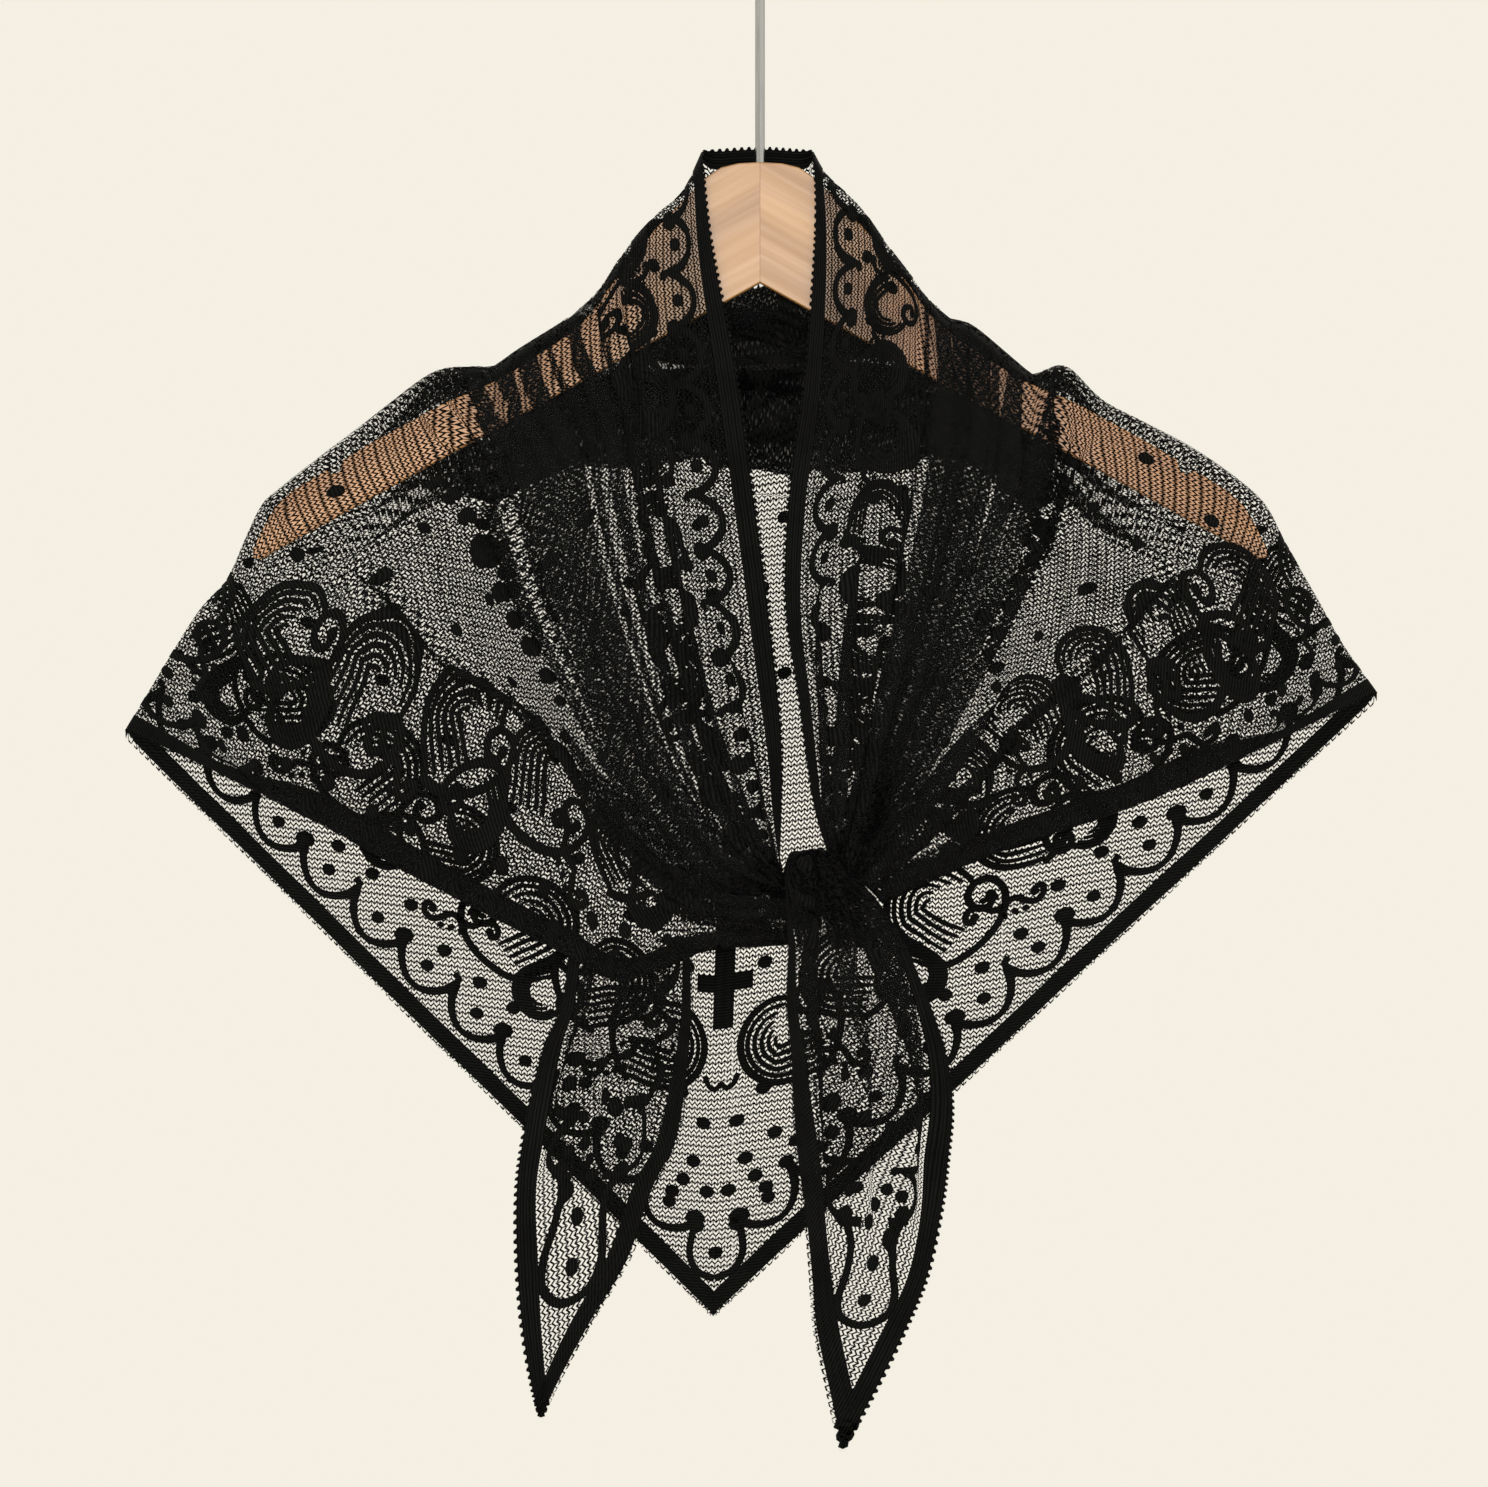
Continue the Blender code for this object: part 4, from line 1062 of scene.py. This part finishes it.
def backCut():
    # each column's top in space, its seam depth, and where its two ends lie on the flat cut
    sides = [("left", s) for s in np.linspace(1.0, 0.0, backSheet["columns"])]
    sides += [("left", s - 1.0) for s in np.linspace(1.0, 0.0, backSheet["nape"])[1:-1]]
    sides += [("right", s - 1.0) for s in np.linspace(0.0, 1.0, backSheet["nape"])[:-1]]
    sides += [("right", s) for s in np.linspace(0.0, 1.0, backSheet["columns"])]
    tops, seams, flatTops = [], [], []
    for side, share in sides:
        top = foldPoint(side, np.array([max(0.0, share)]))[0]
        turn = 1.0 if side == "right" else -1.0
        if share < 0.0:
            fromMiddle = 1.0 + share
            rise = drape["collarRise"] * (1.0 - fromMiddle ** 2)
            top = top * np.array([fromMiddle, 1.0]) - np.array([0.0, rise])
            seams.append(drape["collar"] * math.sqrt(1.0 - fromMiddle ** 4))
            flatTops.append(np.array([turn * cut["nape"] * fromMiddle, 0.0]))
        else:
            seams.append(0.0)
            flatTops.append((nape + (corner - nape) * share) * np.array([turn, 1.0]))
        tops.append(top)
    tops = np.array(tops)
    out = tops[:, 0] - drape["backPoint"][0]
    share = np.where(out < 0.0, out / -out[0], out / out[-1])
    bottoms = legStart + (corner + np.array([0.0, 0.001]) - legStart) * np.abs(share)[:, None]
    bottoms = bottoms * np.stack([np.where(share < 0.0, -1.0, 1.0), np.ones(len(share))], axis=1)
    return tops, np.array(seams), np.array(flatTops), bottoms


def layBackFolds(base, flatTops, flatBottoms):
    # The cut is deeper than the drop below the hanger, so spare cloth lies over itself in horizontal folds.
    # Returns the form, and how much more cloth than surface lies at each point.
    high, wide = base.shape[:2]
    form = np.empty_like(base)
    gathered = np.zeros((high, wide))
    normals = normalsOf(base)
    line = np.linspace(0.0, 1.0, wide)
    half, ramp = backSheet["zoneHalf"], backSheet["ramp"]
    for i in range(high):
        steps = np.linalg.norm(np.diff(base[i], axis=0), axis=1) / mm
        travel = np.concatenate([[0.0], np.cumsum(steps)])
        wanted = float(np.linalg.norm(flatBottoms[i] - flatTops[i]))
        out = base[i, 0, 0] / mm
        top = (crownZ - base[i, 0, 2]) / mm
        middle = max(backSheet["zone"], top + backSheet["zoneBelow"]) - top
        extra = max(0.0, wanted - travel[-1]) / ((2.0 - ramp) * half)
        dense = np.linspace(0.0, travel[-1], 1200)
        density = 1.0 + extra * ease((1.0 - np.abs(dense - middle) / half) / ramp)
        cloth = np.concatenate([[0.0], np.cumsum(0.5 * (density[1:] + density[:-1]))])
        y = np.interp(line, cloth / cloth[-1], dense)
        local = np.interp(y, dense, density)
        share = ease((backSheet["looseFrom"] - abs(out)) / backSheet["looseOver"])
        loose = between(backSheet["looseLeast"], 1.0, share)
        spare = np.sqrt(np.maximum(local ** 2 - 1.0, 0.0) / pleat["meanSquare"])
        spare = spare * backSheet["overlap"] * loose
        shift = np.zeros(wide)
        lift = np.zeros(wide)
        for k, (start, end, strength, *least) in enumerate(backSheet["folds"]):
            sway = backSheet["sway"] * math.sin(out / backSheet["swayPitch"] + 2.0 * k)
            phase = (y - middle - sway - start) / (end - start) * 2.0 * np.pi - np.pi
            soft = np.where(np.abs(phase) < np.pi, np.sin(phase), 0.0)
            floor = least[0] * bump(out / backSheet["leastHalf"]) if least else 0.0
            size = np.maximum(spare * (end - start) / (2.0 * np.pi) * strength, floor)
            uneven = backSheet["uneven"] * math.sin(out / backSheet["unevenPitch"] + 3.0 * k)
            size = size * (1.0 - backSheet["uneven"] + uneven)
            shift -= size * soft
            lift += soft * np.minimum(backSheet["liftMost"], size * backSheet["liftShare"])
        where = np.interp(y + shift, travel, line)
        row = np.full(wide, i / (high - 1.0))
        form[i] = readGrid(base, row, where) + readGrid(normals, row, where) * (lift * mm)[:, None]
        gathered[i] = (local - 1.0) * loose
    return form, gathered


def sheetOf(form, tops, bottoms, gathered):
    # a draped form with its two ends on the cut, and the way round in which its lines follow each other
    lead = bottoms - tops
    middle = len(lead) // 2
    ahead = (tops + bottoms)[middle + 1] - (tops + bottoms)[middle]
    sense = 1.0 if ahead[0] * lead[middle][1] - ahead[1] * lead[middle][0] > 0.0 else -1.0
    return {"form": form, "tops": tops, "bottoms": bottoms, "gathered": gathered, "sense": sense}


def makeBack():
    tops, seams, flatTops, flatBottoms = backCut()
    base = backForm(tops, seams, np.linspace(0.0, 1.0, backSheet["rows"]))
    form, gathered = layBackFolds(base, flatTops, flatBottoms)
    return sheetOf(form, flatTops, flatBottoms, gathered * backSheet["haze"])


def makeFront(side, sign):
    def reach(down):
        return between(frontSheet["reachFrom"], 1.0, ease(down / frontSheet["reachOver"]))

    across = np.linspace(0.0, 1.0, frontSheet["across"])
    turn = np.array([sign, 1.0])
    tops = (nape + (corner - nape) * across[:, None]) * turn
    bottoms = (knotNeck + (knotLeg - knotNeck) * across[:, None]) * turn
    base = frontForm(side, across, np.linspace(0.0, 1.0, frontSheet["down"]))
    pleats = frontSheet["pleats"][side]
    rise = frontSheet["rise"] * sign
    form, gathered = lapped(base, tops, bottoms, pleats, smoothSpread(side), rise, reach)
    return sheetOf(creased(form, frontSheet["creases"][side]), tops, bottoms, gathered)


def makeEnd(side, sign, wrapped):
    # a pointed end or, where wrapped, the stretch above it that goes over the knot
    def reach(down):
        if wrapped:
            return tailSheet["wrapReach"] + 0.0 * down
        return ease((tailSheet["reachEnd"] - down) / tailSheet["reachOver"])

    across = np.linspace(0.0, 1.0, tailSheet["across"])
    aside = (across if side == "left" else 1.0 - across) * 2.0 - 1.0

    def line(fromTip):
        return legTip + tipIn * fromTip + tipAcross * (fromTip * tipSlope * aside)[:, None]

    turn = np.array([sign, 1.0])
    rows = tailRows[side]
    start = line(rows[-1][1] - rows[0][1] + tailSheet["tip"])
    if wrapped:
        tops, bottoms = (start + tipIn * tailSheet["wrapLength"]) * turn, start * turn
        base = wrapForm(across, np.linspace(0.0, 1.0, tailSheet["wrapDown"]))
    else:
        tops, bottoms = start * turn, line(tailSheet["tip"]) * turn
        base = tailForm(side, across, np.linspace(0.0, 1.0, tailSheet["down"]))
    pleats = tailSheet["pleats"][side]
    form, gathered = lapped(base, tops, bottoms, pleats, evenSpread, tailSheet["rise"], reach)
    return sheetOf(form, tops, bottoms, gathered * tailSheet["wrapHaze" if wrapped else "haze"])


sheets = {
    "back": makeBack(),
    "front_left": makeFront("left", -1.0),
    "front_right": makeFront("right", 1.0),
    "knot": makeEnd("right", 1.0, True),
    "tail_left": makeEnd("left", -1.0, False),
    "tail_right": makeEnd("right", 1.0, False),
}
print("sheets draped:", ", ".join(sheets))

stretches = {  # each stretch of the cloth: its node, how it is held, what it rests on, its ground's fineness
    "back": {"node": "shawl_back", "held": "draped", "on": ["hanger_wood"], "fine": (150, 150)},
    "front_left": {"node": "shawl_front_left", "held": "draped", "on": ["hanger_wood"], "fine": (140, 110)},
    "front_right": {
        "node": "shawl_front_right", "held": "draped", "on": ["hanger_wood"], "fine": (140, 110),
    },
    "knot": {"node": "shawl_knot", "held": "gathered", "on": ["shawl_front_left"], "fine": (80, 50)},
    "tail_left": {"node": "shawl_tail_left", "held": "hung", "on": ["shawl_front_left"], "fine": (80, 90)},
    "tail_right": {"node": "shawl_tail_right", "held": "hung", "on": ["shawl_knot"], "fine": (80, 90)},
}
motifThickness = 0.0005
mostGathered = 8.0


def makeGround(name, sheet, fine):
    high, wide = fine
    across = np.repeat(np.linspace(0.0, 1.0, high), wide)
    down = np.tile(np.linspace(0.0, 1.0, wide), high)
    flat = readGrid(np.stack([sheet["tops"], sheet["bottoms"]], axis=1), across, down)
    first = (np.arange(high - 1)[:, None] * wide + np.arange(wide - 1)[None, :]).ravel()
    faces = np.stack([first, first + wide, first + wide + 1, first + 1], axis=1)
    piece = meshPiece(name, readGrid(sheet["form"], across, down), flat, faces, laceHaze)
    gathered = readGrid(sheet["gathered"][..., None], across, down)[:, 0]
    layer = piece.data.attributes.new("gathered", "FLOAT", "POINT")
    layer.data.foreach_set("value", np.clip(gathered, 0.0, mostGathered).astype(np.float32))
    return piece


def makeCloth():
    lace = FlatLace()
    drawMotifs(lace)
    motifPoints, motifFaces = lace.mirrored()
    netPoints, netFaces = netStrips()
    middles = netPoints[netFaces].mean(axis=1)
    right = np.abs(middles[:, 0])
    inward = inFromLeg(np.stack([right, middles[:, 1]], axis=1))
    long, start, end = net["hidden"]
    hidden = (middles[:, 1] < long) | ((inward > start) & (inward < end)) | (inward < 0.0)
    netFaces = netFaces[~hidden]
    print("lace charted:", len(motifFaces), "motif faces,", len(netFaces), "net faces")
    for name, stretch in stretches.items():
        sheet = sheets[name]
        ground = makeGround(stretch["node"] + "_ground", sheet, stretch["fine"])
        points, flat, faces = layOn(sheet, netPoints, netFaces)
        threads = meshPiece(stretch["node"] + "_net", points, flat, faces, laceNet)
        points, flat, faces = layOn(sheet, motifPoints, motifFaces)
        motifs = meshPiece(stretch["node"] + "_motifs", points, flat, faces, laceMotif)
        thick = motifs.modifiers.new("Thickness of the knit", "SOLIDIFY")
        thick.thickness = motifThickness
        thick.offset = 0.0
        for piece in (ground, threads, motifs):
            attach(piece, "root")
        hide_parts(stretch["node"])
        counts = len(threads.data.polygons), len(motifs.data.polygons)
        print("laid", name, "with", counts[0], "net faces and", counts[1], "motif faces")


makeCloth()

for node, finish in (("hanger_wood", woodFinish()), ("hanger_hook", steelFinish())):
    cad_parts[node].data.materials.clear()
    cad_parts[node].data.materials.append(finish)

view = {  # the photo's frame: mm for each pixel, its size and the place of the hanger's crown in pixels
    "scale": 0.41, "width": 1488, "height": 1487, "crownX": 760.0, "crownY": 163.0,
    "away": 3.2, "sensor": 36.0,
    "floorHalf": 1.6, "floorZ": -1.2, "floor": (0.80, 0.77, 0.70, 1.0), "world": (0.905, 0.866, 0.765, 1.0),
    "aim": (0.0, 0.0, -0.35),
}


def makeView():
    camera = bpy.data.objects.new("camera", bpy.data.cameras.new("camera"))
    bpy.context.scene.collection.objects.link(camera)
    x = (view["width"] / 2.0 - view["crownX"]) * view["scale"] * mm
    z = crownZ - (view["height"] / 2.0 - view["crownY"]) * view["scale"] * mm
    camera.location = (x, -view["away"], z)
    camera.rotation_euler = (math.pi / 2.0, 0.0, 0.0)
    camera.data.sensor_width = view["sensor"]
    camera.data.lens = view["sensor"] * view["away"] / (view["width"] * view["scale"] * mm)
    bpy.context.scene.camera = camera
    floor = bpy.data.meshes.new("floor")
    half = view["floorHalf"]
    corners = [(x * half, y * half, view["floorZ"]) for x, y in ((-1, -1), (1, -1), (1, 1), (-1, 1))]
    floor.from_pydata(corners, [], [(0, 1, 2, 3)])
    piece = bpy.data.objects.new("floor", floor)
    bpy.context.scene.collection.objects.link(piece)
    floor.materials.append(newFinish("pale floor", {"Base Color": view["floor"], "Roughness": 0.8})[0])


lights = [
    {"name": "front", "at": (0.0, -3.22, -0.16), "size": 0.1, "power": 45.0},
    {"name": "key", "at": (-0.9, -1.9, 0.9), "size": 1.3, "power": 12.0},
    {"name": "fill", "at": (1.6, -1.5, 0.1), "size": 1.6, "power": 3.0},
    {"name": "back", "at": (0.6, 1.8, 0.9), "size": 1.4, "power": 6.0},
]


def makeLight():
    for lamp in lights:
        data = bpy.data.lights.new(lamp["name"], "AREA")
        data.size = lamp["size"]
        data.energy = lamp["power"]
        piece = bpy.data.objects.new(lamp["name"], data)
        bpy.context.scene.collection.objects.link(piece)
        piece.location = lamp["at"]
        aim = Vector(view["aim"]) - piece.location
        piece.rotation_euler = aim.to_track_quat("-Z", "Y").to_euler()
    world = bpy.data.worlds.new("pale room")
    world.use_nodes = True
    world.node_tree.nodes["Background"].inputs["Color"].default_value = view["world"]
    world.node_tree.nodes["Background"].inputs["Strength"].default_value = 1.0
    bpy.context.scene.world = world
    bpy.context.scene.view_settings.view_transform = "Standard"
    bpy.context.scene.cycles.transparent_max_bounces = 32


makeView()
makeLight()
print("done")
